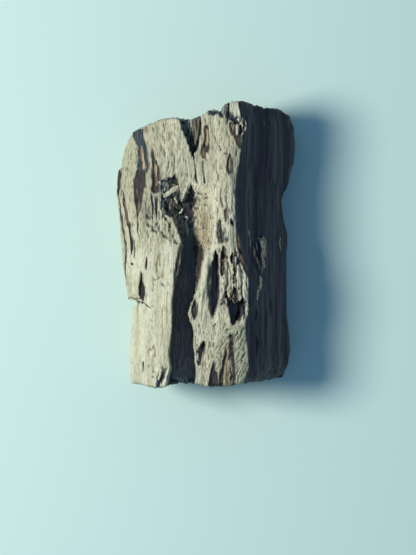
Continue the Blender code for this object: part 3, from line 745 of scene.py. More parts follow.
@dataclass(frozen=True)
class WornBlock:
    """The chunk's main form, from its outline and its cross sections."""

    length: float = 100.0
    width: float = 62.2
    # Outline from above: the long edges as (y, x), the two ends as (x, y)
    left_edge: Points = (
        (-48.3, -25.8), (-46.8, -26.3), (-38.5, -26.5), (-26.3, -25.6), (-21.6, -25.5), (-18.8, -27.0),
        (-14.1, -27.7), (-7.8, -28.8), (5.0, -29.7), (17.3, -31.1), (25.8, -30.4), (26.9, -29.5),
        (31.6, -28.7), (36.3, -27.0), (39.3, -25.2),
    )
    right_edge: Points = (
        (-46.6, 26.8), (-41.7, 28.8), (-37.3, 30.1), (-32.4, 29.6), (-24.3, 28.3), (-3.1, 28.2),
        (0.9, 28.6), (4.1, 28.5), (12.5, 26.7), (15.6, 26.5), (21.4, 28.9), (28.8, 31.1), (35.4, 31.5),
        (41.2, 31.1), (44.8, 29.7),
    )
    lower_end: Points = (
        (-25.8, -48.3), (-21.6, -49.0), (-18.2, -50.0), (-15.7, -49.9), (-8.9, -48.2), (-2.0, -48.8),
        (2.0, -49.5), (9.8, -48.9), (18.8, -47.8), (26.1, -46.6),
    )
    upper_end: Points = (
        (-25.2, 39.3), (-21.9, 41.2), (-15.6, 43.5), (-10.5, 44.2), (-5.3, 43.4), (-1.4, 44.9),
        (2.4, 47.4), (5.4, 46.3), (6.4, 48.5), (9.0, 49.7), (13.0, 50.0), (17.6, 48.2), (23.0, 47.9),
        (26.4, 47.0), (29.3, 45.3),
    )
    # Notch broken into the left edge as (y, depth), and how far in it is felt
    notch: Points = ((-21.7, 0.0), (-21.2, 1.5), (-20.2, 2.6), (-19.5, 2.2), (-19.1, 0.0))
    notch_reach: float = 2.8
    # How far the sides and ends lean in from the outline to the underside
    left_inset: float = 6.5
    right_inset: float = 5.5
    end_inset: float = 3.5
    inset_curve: float = 1.9
    # The crest between the worn side and the split side, as (y, x)
    crest: Points = (
        (-48.3, 13.2), (-42.0, 14.9), (-36.0, 14.4), (-31.0, 13.7), (-26.0, 14.1), (-22.5, 14.8),
        (-12.0, 14.8), (-8.7, 13.4), (-5.3, 12.0), (-0.5, 10.9), (5.9, 10.4), (14.0, 10.0), (18.8, 10.1),
        (23.8, 10.6), (28.8, 11.6), (32.1, 12.0), (40.0, 13.0), (48.6, 11.3),
    )
    # Heights on eleven cross sections, from the left rim over the crest to the right rim
    section_y: tuple[float, ...] = (-49.0, -40.0, -30.0, -20.0, -10.0, 0.0, 10.0, 20.0, 30.0, 40.0, 49.0)
    section_heights: tuple[tuple[float, ...], ...] = (
        (20.0, 21.0, 22.0, 22.0, 21.0, 20.0, 19.0, 19.0, 20.0, 20.0, 20.0),
        (26.0, 27.0, 28.0, 28.5, 28.5, 28.0, 27.0, 26.0, 26.0, 27.0, 27.0),
        (29.0, 30.0, 31.0, 31.5, 31.5, 31.0, 29.5, 29.0, 29.5, 30.0, 30.0),
        (31.0, 32.0, 33.0, 33.5, 33.5, 33.0, 31.0, 31.0, 31.5, 32.0, 32.0),
        (32.0, 33.0, 34.0, 34.5, 34.0, 33.0, 32.5, 33.0, 33.5, 34.0, 33.5),
        (34.5, 35.5, 36.5, 37.0, 37.5, 37.5, 38.0, 38.0, 37.5, 37.0, 36.0),
        (33.7, 34.8, 35.8, 36.3, 36.8, 36.8, 37.3, 37.3, 36.8, 36.3, 35.3),
        (27.0, 28.0, 29.0, 29.6, 30.0, 30.2, 30.8, 30.4, 29.8, 29.0, 28.0),
        (20.5, 21.8, 23.0, 23.4, 24.0, 24.2, 25.0, 24.4, 23.6, 22.8, 21.8),
        (10.5, 10.5, 11.5, 11.5, 11.5, 12.5, 14.0, 13.0, 12.0, 11.5, 11.5),
    )
    # Where those heights stand: steps in from the left edge, two x, steps from the crest, shares of
    # the way from the crest to the right edge, and that edge
    left_stations: tuple[float, ...] = (0.0, 5.0, 11.0)
    middle_stations: tuple[float, ...] = (-10.0, 0.0)
    crest_stations: tuple[float, ...] = (-3.0, 0.0)
    right_stations: tuple[float, ...] = (0.25, 0.5)
    crest_station: int = 6
    # The sections follow the left edge's average over these steps along it
    edge_shifts: tuple[float, ...] = (-8.0, -6.0, -4.0, -2.0, 0.0, 2.0, 4.0, 6.0, 8.0)
    # The flat patch underneath, and how much the underside lifts towards the edges
    flat_half_width: float = 12.0
    flat_half_length: float = 34.0
    underside_fade: float = 13.0
    underside_lift: float = 3.4
    underside_curve: float = 1.6
    thinnest: float = 3.0
    # Steps in the surface: the broken upper edge of the left slab, and one on the split side
    slab_step_line: Points = (
        (-21.0, 6.5), (-18.0, 4.8), (-16.8, 5.4), (-15.0, 2.0), (-12.0, 1.2), (-10.2, 0.4), (-8.6, -0.8),
    )
    slab_step_left: Range = (-22.5, -19.5)
    slab_step_right: Range = (-4.0, -8.0)
    slab_step: float = 0.7
    split_step_y: float = 1.2
    split_step_left: Range = (14.5, 17.0)
    split_step: float = 0.8
    step_width: float = 1.0
    step_fade: float = 14.0
    # Rounding where the upper surface meets the ends and the right rim
    end_rounding: float = 1.3
    corner_rounding: float = 4.5
    corner_x: Range = (11.0, 17.0)
    rim_rounding: float = 1.6
    # Fraying of every mark's outline: (size across, size along, how far)
    fray: Layers = ((2.6, 7.0, 0.30), (0.9, 2.4, 0.34))
    # How much further it goes along the grain, and the slices of the noise for both directions
    fray_along: float = 2.5
    fray_slices: Range = (5.5, 31.5)
    plan_rounds: int = 6
    noise: GrainNoise = GrainNoise(5)
    groove: Groove = Groove()
    wedge: Wedge = Wedge()
    # Ridge along the bank's crest in two parts, the slab's knot, and the split side's torn ridge
    lumps: tuple[tuple[Lens, float], ...] = (
        (Lens(3.0, 8.0, 12.0, 1.4), 0.9),
        (Lens(-0.4, -13.0, 13.0, 1.5, 8.0), 0.9),
        (Lens(-18.6, -38.0, 1.8, 1.4), 0.22),
        (Lens(19.9, -3.5, 9.0, 2.2), 3.0),
        (Lens(18.8, -14.0, 5.0, 1.2), 1.4),
        (Lens(12.6, -2.5, 7.5, 1.3, -12.0), 0.9),
        (Lens(12.6, 47.6, 4.4, 3.2), 1.0),
    )

    def section(self, x: Array, y: Array) -> Array:
        """Height of the worn surface without its hollows.

        Args:
            x, y: Places across the grain and along it.

        Returns:
            Heights on a curve through the section heights, with a break in slope at the crest.
        """
        left = sum(follow(self.left_edge, y + shift) for shift in self.edge_shifts)
        left = left / len(self.edge_shifts)
        right = follow(self.right_edge, y)
        crest = follow(self.crest, y)
        stations = [left + step for step in self.left_stations]
        stations += [np.full(y.shape, place) for place in self.middle_stations]
        stations += [crest + step for step in self.crest_stations]
        stations += [blend(crest, right, share) for share in self.right_stations] + [right]
        heights = [np.interp(y, self.section_y, row) for row in self.section_heights]
        slopes = [
            (heights[k + 1] - heights[k]) / (stations[k + 1] - stations[k])
            for k in range(len(stations) - 1)
        ]
        before = [slopes[0], *slopes]
        after = [*slopes, slopes[-1]]
        rising = [0.5 * (a + b) for a, b in zip(before, after)]
        falling = list(rising)
        rising[self.crest_station] = before[self.crest_station]
        falling[self.crest_station] = after[self.crest_station]
        height = heights[0].copy()
        for k in range(len(slopes)):
            span = stations[k + 1] - stations[k]
            share = np.clip((x - stations[k]) / span, 0.0, 1.0)
            curve = blend(heights[k], heights[k + 1], smooth(share))
            curve += span * falling[k] * share * (1.0 - share) ** 2
            curve -= span * rising[k + 1] * share**2 * (1.0 - share)
            height = np.where(x >= stations[k], curve, height)
        return height

    def steps(self, x: Array, y: Array) -> Array:
        """How far the surface above each broken step lies below the surface under it.

        Args:
            x, y: Places across the grain and along it.

        Returns:
            Depth in millimetres.
        """
        slab = ease(*self.slab_step_left, x) * ease(*self.slab_step_right, x)
        split = ease(*self.split_step_left, x)
        depth = np.zeros(x.shape)
        for height, share, line in (
            (self.slab_step, slab, follow(self.slab_step_line, x)),
            (self.split_step, split, self.split_step_y),
        ):
            rise = ease(0.0, self.step_width, y - line) * ease(self.step_fade, self.step_width, y - line)
            depth += height * (share * rise)
        return depth

    def frayed(self, x: Array, y: Array) -> tuple[Array, Array]:
        """Shift places a little, so that every mark's outline frays along the grain.

        Args:
            x, y: Places across the grain and along it.

        Returns:
            The shifted x and y.
        """
        shift_x = np.zeros(x.shape)
        shift_y = np.zeros(x.shape)
        slice_x, slice_y = self.fray_slices
        for size, length, amount in self.fray:
            shift_x += amount * self.noise.at(x / size, y / length, slice_x)
            shift_y += self.fray_along * amount * self.noise.at(x / size, y / length, slice_y)
        return x + shift_x, y + shift_y

    def hollows(self, x: Array, y: Array) -> Array:
        """How far the groove, the wedge, the pockets and the scars go below the worn surface.

        Args:
            x, y: Places across the grain and along it.

        Returns:
            Depth in millimetres.
        """
        x, y = self.frayed(x, y)
        depth = np.maximum(self.groove.depth_at(x, y), self.wedge.depth_at(x, y))
        for mark in SCAR_MARKS + HOLLOW_MARKS:
            depth = np.maximum(depth, mark.depth_at(x, mark.form.inside(x, y)))
        for mark in CRACK_MARKS + STAIN_MARKS + EMBER_MARKS:
            depth = depth + mark.depth_at(x, mark.form.inside(x, y))
        for form, height in self.lumps:
            depth = depth - height * ease(0.0, form.half_width, form.inside(x, y))
        return depth

    def upper(self, x: Array, y: Array) -> Array:
        """Height of the finished upper surface.

        Args:
            x, y: Places across the grain and along it.

        Returns:
            Height in millimetres.
        """
        lower_radius = blend(self.end_rounding, self.corner_rounding, ease(*self.corner_x, x))
        height = self.section(x, y) - self.hollows(x, y) - self.steps(x, y)
        height -= rounding(lower_radius, y - follow(self.lower_end, x))
        height -= rounding(self.end_rounding, follow(self.upper_end, x) - y)
        height -= rounding(self.rim_rounding, follow(self.right_edge, y) - x)
        return np.maximum(height, self.under(x, y) + self.thinnest)

    def under(self, x: Array, y: Array) -> Array:
        """Height of the underside.

        Args:
            x, y: Places across the grain and along it.

        Returns:
            Millimetres: zero on the flat patch, rising towards every edge.
        """
        past_x = np.maximum(np.abs(x) - self.flat_half_width, 0.0) / self.underside_fade
        past_y = np.maximum(np.abs(y) - self.flat_half_length, 0.0) / self.underside_fade
        return self.underside_lift * np.hypot(past_x, past_y) ** self.underside_curve

    def plan(self, across: Array, along: Array) -> tuple[Array, Array]:
        """Places seen from above for shares of the block's width and length.

        Args:
            across: Share of the width, from the left edge.
            along: Share of the length, from the lower end.

        Returns:
            The x and y of each place.
        """
        x = blend(-self.width / 2, self.width / 2, across)
        y = blend(-self.length / 2, self.length / 2, along)
        for _ in range(self.plan_rounds):
            x = blend(follow(self.left_edge, y), follow(self.right_edge, y), across)
            y = blend(follow(self.lower_end, x), follow(self.upper_end, x), along)
        from_edge = (x - follow(self.left_edge, y)) / self.notch_reach
        return x + follow(self.notch, y) * np.exp(-(from_edge**2)), y


ZONES = (
    # Lower slab
    Zone(Patch((
        (-27.0, -49.0), (-27.5, -21.0), (-26.0, -3.0), (-9.0, 1.5), (-11.0, -20.0), (-15.0, -49.0),
    )), 3.0, Surface.SMOOTH, bleach=0.14),
    # Broken upper edge of the slab
    Zone(Patch((
        (-21.5, 17.0), (-15.5, 18.0), (-14.5, 12.0), (-9.5, 3.5), (-10.5, 0.5), (-21.0, 5.0),
    )), 2.0, Surface.RUGGED),
    # Bank between the hollow and the crest
    Zone(Patch((
        (-4.4, 18.0), (-0.9, 20.6), (1.5, 17.0), (2.7, 10.3), (2.8, 0.5), (0.2, -1.6), (-3.0, -12.0),
        (-4.4, -15.0), (-4.4, 10.3),
    )), 1.8, Surface.GRANULAR),
    # Patch beside the bank's bright crest, darkened as painted shade where it slopes away from the light
    Zone(Patch((
        (3.9, 8.1), (5.3, 8.8), (6.3, 6.1), (7.2, 3.1), (7.2, -0.4), (3.8, -0.1),
    )), 0.9, Surface.RUGGED, dirt_and_shade=0.7),
    # Ridge: open fibres, and the lower end with its slanting wrinkles
    Zone(Patch((
        (4.3, -1.9), (10.6, -1.9), (14.0, -8.8), (14.4, -22.8), (13.0, -27.0), (7.8, -25.6), (5.0, -19.3),
    )), 1.5, Surface.FIBROUS, bleach=0.35),
    Zone(Patch((
        (5.5, -28.5), (9.0, -29.0), (13.0, -27.0), (14.4, -36.7), (14.7, -48.2), (3.0, -49.2),
        (3.2, -38.0), (4.2, -33.0),
    )), 1.6, Surface.WRINKLED, bleach=-0.1),
    # Bright crest of the bank, and the pale wood below the slot
    Zone(Lens(3.2, 5.0, 12.0, 1.2), 0.8, Surface.SMOOTH, bleach=0.5),
    Zone(Lens(2.0, -31.0, 7.0, 2.4), 1.5, bleach=0.3),
    # Torn ridge on the split side
    Zone(Lens(19.8, -5.0, 11.0, 1.8), 0.8, Surface.RUGGED),
    # Split corner of the slab
    Zone(Patch((
        (-17.2, -52.7), (-16.5, -46.6), (-14.6, -43.1), (-13.2, -41.5), (-12.6, -42.8), (-14.1, -52.7),
    )), 0.5, Surface.WRINKLED, dirt_and_shade=0.2),
    # Smooth tip of the highest splinter
    Zone(Patch((
        (8.3, 49.6), (11.1, 50.6), (12.0, 47.5), (11.3, 45.0), (9.6, 46.0), (8.3, 46.3),
    )), 0.8, Surface.SMOOTH, bleach=0.9),
    # Foot of the bank darkened as painted shade, where the shadow of the groove's left wall falls, and
    # thinner painted shade above it
    Zone(Patch((
        (-4.6, -2.0), (-1.2, -2.0), (-0.9, -5.3), (-1.3, -9.0), (-1.9, -12.5), (-3.1, -16.4),
        (-4.6, -17.0),
    )), 1.7, dirt_and_shade=0.82),
    Zone(Patch((
        (-4.6, 3.4), (-2.6, 3.2), (-1.2, 1.0), (-0.6, -2.2), (-1.4, -4.6), (-4.6, -4.6),
    )), 2.8, dirt_and_shade=0.7),
    # Paler upper part and left edge of the bank
    Zone(Lens(-3.6, 9.0, 6.5, 0.9), 0.7, bleach=0.6),
    Zone(Patch(((-4.6, 21.0), (0.0, 23.0), (2.4, 17.0), (2.2, 11.0), (-4.6, 12.5))), 2.4, bleach=0.55),
    # Strip along the left rim, which leans towards the light, made duller and a little darker as painted
    # shade
    Zone(Patch((
        (-31.5, 20.0), (-29.2, 20.0), (-27.0, 4.0), (-26.2, -6.0), (-26.0, -19.0), (-28.5, -19.0),
        (-30.5, 0.0),
    )), 1.2, bleach=-0.2, dirt_and_shade=0.05),
    # Smooth ridge beside the groove, and the duller upper left corner
    Zone(Lens(-0.8, -14.0, 14.0, 2.0, 8.0), 1.0, Surface.SMOOTH, bleach=0.3),
    Zone(Patch(((-32.0, 16.0), (-20.0, 16.0), (-12.0, 50.0), (-32.0, 50.0))), 4.0, bleach=-0.5),
    # Rough and slightly darkened inside of the hollow
    Zone(Patch((
        (-15.5, 14.0), (-15.5, 23.0), (-9.5, 24.0), (-8.5, 14.0), (-12.0, 8.0),
    )), 0.8, Surface.GRANULAR, dirt_and_shade=0.2),
)


@dataclass(frozen=True)
class Texture:
    """Relief of one kind of surface: raised fibres, pits and the gaps between strips."""

    fibres: Layers
    pits: Layers = ()
    gaps: Layers = ()
    # Direction of the layers, in degrees from +Y to +X
    lean: float = 0.0
    # Values of the noise between which a pit and a gap deepen
    pit_edge: Range = (0.12, 0.55)
    gap_edge: Range = (0.17, 0.0)

    def height(self, noise: GrainNoise, grain: Array) -> Array:
        """Height above the smooth surface.

        Args:
            noise: Noise that the layers are read from.
            grain: Coordinates that follow the grain.

        Returns:
            Millimetres at each point.
        """
        x, y, z = grain.T
        place = np.column_stack((x - y * math.tan(math.radians(self.lean)), y, z))
        height = np.zeros(len(place))
        for seed, (width, length, amount) in enumerate(self.fibres, 1):
            height += amount * (1.0 - 2.0 * np.abs(noise.streaks(place, width, length, seed)))
        for seed, (width, length, amount) in enumerate(self.pits, 4):
            height -= amount * ease(*self.pit_edge, noise.streaks(place, width, length, seed))
        for seed, (width, length, amount) in enumerate(self.gaps, 7):
            height -= amount * ease(*self.gap_edge, np.abs(noise.streaks(place, width, length, seed)))
        return height


TEXTURES = {
    Surface.PLAIN: Texture(
        ((2.6, 26.0, 0.16), (1.0, 12.0, 0.12), (0.5, 6.0, 0.11)),
        ((0.40, 2.2, 0.27), (0.6, 3.6, 0.12)),
    ),
    Surface.SMOOTH: Texture(
        ((3.0, 34.0, 0.14), (0.9, 16.0, 0.08), (0.5, 6.0, 0.08)),
        ((0.42, 1.8, 0.12),),
        ((1.6, 30.0, 0.08),),
    ),
    Surface.GRANULAR: Texture(
        ((2.0, 4.0, 0.22), (0.6, 1.2, 0.26)),
        ((0.5, 0.9, 0.55), (1.2, 2.6, 0.30)),
    ),
    Surface.WRINKLED: Texture(
        ((1.4, 4.4, 0.16), (0.6, 2.0, 0.24)),
        ((0.5, 1.4, 0.36),),
        ((0.75, 2.0, 0.12),),
        lean=24.0,
    ),
    Surface.FIBROUS: Texture(
        ((2.0, 18.0, 0.32), (0.8, 8.0, 0.26)),
        ((0.5, 2.4, 0.40),),
        ((1.8, 14.0, 1.35), (0.9, 7.0, 0.7)),
    ),
    Surface.RUGGED: Texture(
        ((1.6, 6.0, 0.36), (0.7, 2.8, 0.30)),
        ((0.6, 2.2, 0.40), (1.2, 4.0, 0.24)),
        ((1.5, 6.0, 0.55),),
        lean=-6.0,
    ),
}


@dataclass(frozen=True)
class Fibres:
    """The fine relief of weathered wood: raised fibres, the pits between them, broken ends."""

    noise: GrainNoise = GrainNoise(11)
    # How the grain wanders, and how far apart in the noise its two shifts are read
    wander: Layers = ((9.0, 30.0, 1.3), (3.2, 11.0, 0.45))
    shift_slice: float = 3.1
    lift_slice: float = 9.4
    split_ridges: Layers = ((3.6, 120.0, 0.50), (1.2, 60.0, 0.30), (0.6, 26.0, 0.20))
    # Broken ends: how deep, and their layers as (size across, size up, share) with their slices
    end_depth: float = 1.3
    end_layers: Layers = ((2.4, 5.0, 0.6), (0.9, 1.8, 0.3))
    end_slices: Range = (21.0, 27.0)
    end_deepest: float = 1.2
    # Resin scars of the sides and the underside
    side_scar_width: float = 3.4
    side_scar_length: float = 26.0
    side_scar_depth: float = 0.9
    side_scar_seed: float = 8.0
    side_scar_steep: float = 2.2
    # How bleached the wood is where no zone says otherwise
    bleached: float = 0.45

    def surfaces(self, x: Array, y: Array, worn: Array) -> dict[Surface, Array]:
        """Share of each kind of surface at each place.

        Args:
            x, y: Places across the grain and along it.
            worn: 1 on the worn side, falling to 0 down the sides.

        Returns:
            One share for each kind of surface, together 1.
        """
        shares = {surface: np.zeros(x.shape) for surface in Surface}
        left = np.ones(x.shape)
        for zone in ZONES:
            if zone.surface is not None:
                share = zone.share(x, y) * worn * left
                shares[zone.surface] += share
                left -= share
        shares[Surface.PLAIN] = left
        return shares

    def bleach(self, x: Array, y: Array) -> Array:
        """How bleached each place is, from 0 to 1."""
        added = sum(zone.bleach * zone.share(x, y) for zone in ZONES)
        return np.clip(self.bleached + added, 0.0, 1.0)

    def dirt_and_shade(self, x: Array, y: Array) -> Array:
        """How far the grain is darkened at each place, from 0 to 1; at the bank's foot, beside its crest
        and along the left rim this is painted shade.
        """
        return np.clip(sum(zone.dirt_and_shade * zone.share(x, y) for zone in ZONES), 0.0, 1.0)

    def grain(self, place: Array) -> Array:
        """Coordinates that follow the wandering grain.

        Args:
            place: Points as rows of x, y and z.

        Returns:
            The points, shifted across the grain.
        """
        x, y, z = place.T
        shift = np.zeros(x.shape)
        lift = np.zeros(x.shape)
        for across, along, reach in self.wander:
            shift += reach * self.noise.at(x / across, y / along, z / across + self.shift_slice)
            lift += reach * self.noise.at(x / across + self.lift_slice, y / along, z / across)
        return np.column_stack((x + shift, y, z + lift))

    def height(self, grain: Array, shares: dict[Surface, Array]) -> Array:
        """Relief of the worn side and the edges, in millimetres above the smooth surface."""
        return sum(shares[kind] * TEXTURES[kind].height(self.noise, grain) for kind in Surface)

    def split_height(self, place: Array) -> Array:
        """Relief of the split side: long straight fibres with no pits.

        Args:
            place: Points as rows of x, y and z.

        Returns:
            Height above the smooth surface, in millimetres.
        """
        height = np.zeros(len(place))
        for seed, (width, length, amount) in enumerate(self.split_ridges, 11):
            height += amount * self.noise.streaks(place, width, length, float(seed))
        return height

    def broken_end(self, x: Array, z: Array) -> Array:
        """Break the fibres of an end.

        Args:
            x: Places across the grain.
            z: Heights.

        Returns:
            How far each fibre is broken off short, in millimetres.
        """
        share = np.full(x.shape, 0.5)
        for (width, height, amount), level in zip(self.end_layers, self.end_slices):
            share += amount * self.noise.at(x / width, z / height, level)
        return self.end_depth * np.clip(share, 0.0, self.end_deepest)

    def side_scar(self, grain: Array) -> Array:
        """Distance inside the resin scars of the sides and the underside, in millimetres."""
        size = (self.side_scar_width, self.side_scar_length)
        return self.side_scar_steep * (self.noise.streaks(grain, *size, self.side_scar_seed) - 0.5)


def linked(name: str, data: bpy.types.ID) -> bpy.types.Object:
    """Make an object and link it to the scene.

    Args:
        name: Name of the new object.
        data: Its mesh, light or camera.

    Returns:
        The object.
    """
    made = bpy.data.objects.new(name, data)
    bpy.context.scene.collection.objects.link(made)
    return made


def carry(mesh: bpy.types.Mesh, shares: dict[Enum, Array], grain: Array) -> None:
    """Write what the finish reads on a mesh's points.

    Args:
        mesh: The mesh.
        shares: What shows at each point, by name.
        grain: Coordinates that follow the grain.
    """
    for kind, share in shares.items():
        layer = mesh.attributes.new(kind.value, "FLOAT", "POINT")
        layer.data.foreach_set("value", share.astype(np.float32))
    layer = mesh.attributes.new(GRAIN, "FLOAT_VECTOR", "POINT")
    layer.data.foreach_set("vector", grain.astype(np.float32).ravel())


@dataclass(frozen=True)
class Skin:
    """Points of the chunk's main form, with what is known about each of them."""

    points: Array
    # Places of the upper surface over each point, and how far past the crest they lie
    x: Array
    y: Array
    right: Array
    # 1 on the worn side, falling to 0 down the sides
    worn: Array
    is_end: Array
    is_under: Array
    # Coordinates that follow the grain
    grain: Array


@dataclass(frozen=True)
class ChunkMesh:
    """The lattice of the chunk's surface: its points, faces and the marks they carry."""

    block: WornBlock
    fibres: Fibres
    name: str = "weathered_chunk"
    columns: int = 264
    rows: int = 252
    levels: int = 22
    level_curve: float = 1.15
    under_step: int = 4
    # The columns stand closer on steep ground, which is measured at so many samples of every third
    # row and evened out over five of them
    samples: int = 640
    sampled_rows: int = 3
    evened: int = 5
    steepness: float = 0.75
    closest: float = 4.0
    # Dents of the sides and ends: how deep at half height, how long and how high
    dent_depth: float = 1.5
    dent_length: float = 20.0
    dent_height: float = 9.0
    dent_slice: float = 7.0
    # How quickly the broken fibres of an end begin below its rim
    end_start: float = 3.0
    # Share of the height over which the worn side's marks fade in
    worn_height: Range = (0.8, 1.0)
    # Width of the soft edge of a line, and of a patch or lens
    line_edge: float = 0.9
    area_edge: float = 1.8
    # Brown rim around each ember, and how much of a torn place is pale, which is partly painted light
    halo: float = 0.3
    torn_share: float = 0.68
    # Depths of the groove over which rot sets in, the painted fill light of its shade sets in, and the
    # darkening of the grain gives way
    rot_depth: Range = (2.5, 8.0)
    shade_fill_depth: Range = (5.0, 10.0)
    dirt_and_shade_depth: Range = (7.0, 3.0)
    # The painted fill light fades out at the pockets' edges and towards the groove's head
    shade_fill_edge: Range = (-1.2, -0.5)
    shade_fill_y: Range = (8.0, 1.0)
    # Width over which the worn side's relief gives way to the split side's
    crest_fade: float = 2.4
    # Share of the relief that the ends and the underside have
    end_relief: float = 0.35
    under_relief: float = 0.6
    side_scar_edge: Range = (0.4, 0.9)
    # A point is recessed where it lies under its surroundings, evened out in so many rounds; the finish
    # darkens recesses as painted shade
    recess_depth: float = 0.5
    recess_rounds: int = 6

    def even(self, values: Array, axis: int) -> Array:
        """Average of each value and its neighbours along one axis."""
        weights = np.ones(self.evened) / self.evened
        half = self.evened // 2
        return np.apply_along_axis(
            lambda row: np.convolve(np.pad(row, half, "edge"), weights, "valid"), axis, values
        )

    def column_shares(self) -> Array:
        """Shares of the width at which the columns stand on each row.

        Returns:
            One row of shares for each row of the lattice, closer together where it is steep.
        """
        picks = np.linspace(0.0, 1.0, self.rows // self.sampled_rows + 1)
        places = np.linspace(0.0, 1.0, self.samples)
        across, along = np.meshgrid(places, picks)
        x, y = self.block.plan(across.ravel(), along.ravel())
        height = self.block.upper(x, y).reshape(across.shape)
        slope = np.abs(np.diff(height, axis=1) / np.diff(x.reshape(across.shape), axis=1))
        density = np.minimum(np.sqrt(1.0 + (self.steepness * slope) ** 2), self.closest)
        density = self.even(self.even(density, 0), 1)
        reached = np.concatenate((np.zeros((len(picks), 1)), np.cumsum(density, axis=1)), axis=1)
        reached /= reached[:, -1:]
        columns = np.linspace(0.0, 1.0, self.columns + 1)
        picked = np.array([np.interp(columns, row, places) for row in reached])
        rows = np.linspace(0.0, 1.0, self.rows + 1)
        return np.array([np.interp(rows, picks, column) for column in picked.T]).T

    def ring(self) -> list[Cell]:
        """Go round the lattice's border.

        Returns:
            The border as (row, column), anticlockwise seen from above.
        """
        rows, columns = self.rows, self.columns
        ring = [(0, i) for i in range(columns)] + [(j, columns) for j in range(rows)]
        return ring + [(rows, i) for i in range(columns, 0, -1)] + [(j, 0) for j in range(rows, 0, -1)]

    def lattice(self) -> tuple[Array, Array, Array, Faces]:
        """Lay out the lattice.

        Returns:
            Shares across, along and up for each point, and the faces as point numbers.
        """
        shares = self.column_shares()
        rows = np.linspace(0.0, 1.0, self.rows + 1)
        across = [shares.ravel()]
        along = [np.repeat(rows, self.columns + 1)]
        up = [np.ones(shares.size)]
        ring = self.ring()
        ring_rows, ring_columns = np.array(ring).T
        for level in range(1, self.levels + 1):
            across.append(shares[ring_rows, ring_columns])
            along.append(rows[ring_rows])
            up.append(np.full(len(ring), (1.0 - level / self.levels) ** self.level_curve))
        lowest = shares.size + (self.levels - 1) * len(ring)
        bottom = {place: lowest + k for k, place in enumerate(ring)}
        step = self.under_step
        inner = list(product(range(step, self.rows, step), range(step, self.columns, step)))
        bottom.update({place: lowest + len(ring) + k for k, place in enumerate(inner)})
        inner_rows, inner_columns = np.array(inner).T
        across.append(shares[inner_rows, inner_columns])
        along.append(rows[inner_rows])
        up.append(np.zeros(len(inner)))
        faces = self.top_faces() + self.wall_faces(ring, shares.size) + self.under_faces(bottom)
        return np.concatenate(across), np.concatenate(along), np.concatenate(up), faces

    def top_faces(self) -> Faces:
        """Join the points of the worn side.

        Returns:
            The faces, facing up.
        """
        width = self.columns + 1
        corner = np.arange(self.rows)[:, None] * width + np.arange(self.columns)
        quads = np.stack((corner, corner + 1, corner + width + 1, corner + width), axis=-1)
        return [tuple(quad) for quad in quads.reshape(-1, 4).tolist()]

    def wall_faces(self, ring: list[Cell], start: int) -> Faces:
        """Join the points of the sides and ends.

        Args:
            ring: The lattice's border.
            start: Number of the first point below the worn side.

        Returns:
            The faces, facing out.
        """
        upper = np.array([j * (self.columns + 1) + i for j, i in ring])
        faces: Faces = []
        for level in range(self.levels):
            lower = start + level * len(ring) + np.arange(len(ring))
            quads = np.stack((upper, lower, np.roll(lower, -1), np.roll(upper, -1)), axis=-1)
            faces += [tuple(quad) for quad in quads.tolist()]
            upper = lower
        return faces

    def under_faces(self, bottom: dict[Cell, int]) -> Faces:
        """Join the points of the underside, where the border cells take in every point of the ring.

        Args:
            bottom: Point number at each (row, column) of the underside.

        Returns:
            The faces, facing down.
        """
        step = self.under_step
        faces: Faces = []
        for j, i in product(range(0, self.rows, step), range(0, self.columns, step)):
            walk = [(j + k, i) for k in range(step)] + [(j + step, i + k) for k in range(step)]
            walk += [(j + step - k, i + step) for k in range(step)]
            walk += [(j, i + step - k) for k in range(step)]
            faces.append(tuple(bottom[place] for place in walk if place in bottom))
        return faces

    def skin(self, across: Array, along: Array, up: Array) -> Skin:
        """Move the lattice to the chunk's main form.

        Args:
            across: Share of the width.
            along: Share of the length.
            up: Share of the height.

        Returns:
            The points in their places.
        """
        block = self.block
        x, y = block.plan(across, along)
        lean = (1.0 - up) ** block.inset_curve
        low_x = x + blend(block.left_inset, -block.right_inset, across) * lean
        low_y = y + blend(block.end_inset, -block.end_inset, along) * lean
        z = blend(block.under(low_x, low_y), block.upper(x, y), up)
        belly = 4.0 * up * (1.0 - up)
        noise = self.fibres.noise.at(low_y / self.dent_length, z / self.dent_height, self.dent_slice)
        dent = 0.5 - 0.5 * noise
        broken = self.fibres.broken_end(low_x, z) * np.minimum(belly * self.end_start, 1.0)
        low_x += self.dent_depth * belly * inward(across) * dent
        low_y += inward(along) * (broken + belly * dent)
        points = np.column_stack((low_x, low_y, z))
        return Skin(
            points, x, y, x - follow(block.crest, y), ease(*self.worn_height, up),
            is_end=(inward(along) != 0.0) & (up < 1.0) & (up > 0.0),
            is_under=up == 0.0, grain=self.fibres.grain(points),
        )

    @staticmethod
    def normals(points: Array, corners: Array) -> Array:
        """Directions away from the wood at each point.

        Args:
            points: Points as rows of x, y and z.
            corners: Triangles as rows of point numbers.

        Returns:
            Unit normals, one for each point.
        """
        a, b, c = (points[corners[:, k]] for k in range(3))
        facing = np.cross(b - a, c - a)
        total = np.zeros(points.shape)
        for k, axis in product(range(3), repeat=2):
            total[:, axis] += np.bincount(corners[:, k], facing[:, axis], len(points))
        return total / np.maximum(np.linalg.norm(total, axis=1, keepdims=True), 1e-12)

    @staticmethod
    def smoothed(points: Array, corners: Array, rounds: int) -> Array:
        """Points drawn towards their neighbours.

        Args:
            points: Points as rows of x, y and z.
            corners: Triangles as rows of point numbers.
            rounds: How many times they are drawn in.

        Returns:
            The smoothed points.
        """
        starts = np.concatenate([corners[:, k] for k in range(3)])
        ends = np.concatenate([corners[:, (k + 1) % 3] for k in range(3)])
        count = np.bincount(starts, minlength=len(points))[:, None]
        for _ in range(rounds):
            near = [np.bincount(starts, points[ends, axis], len(points)) for axis in range(3)]
            points = np.column_stack(near) / count
        return points

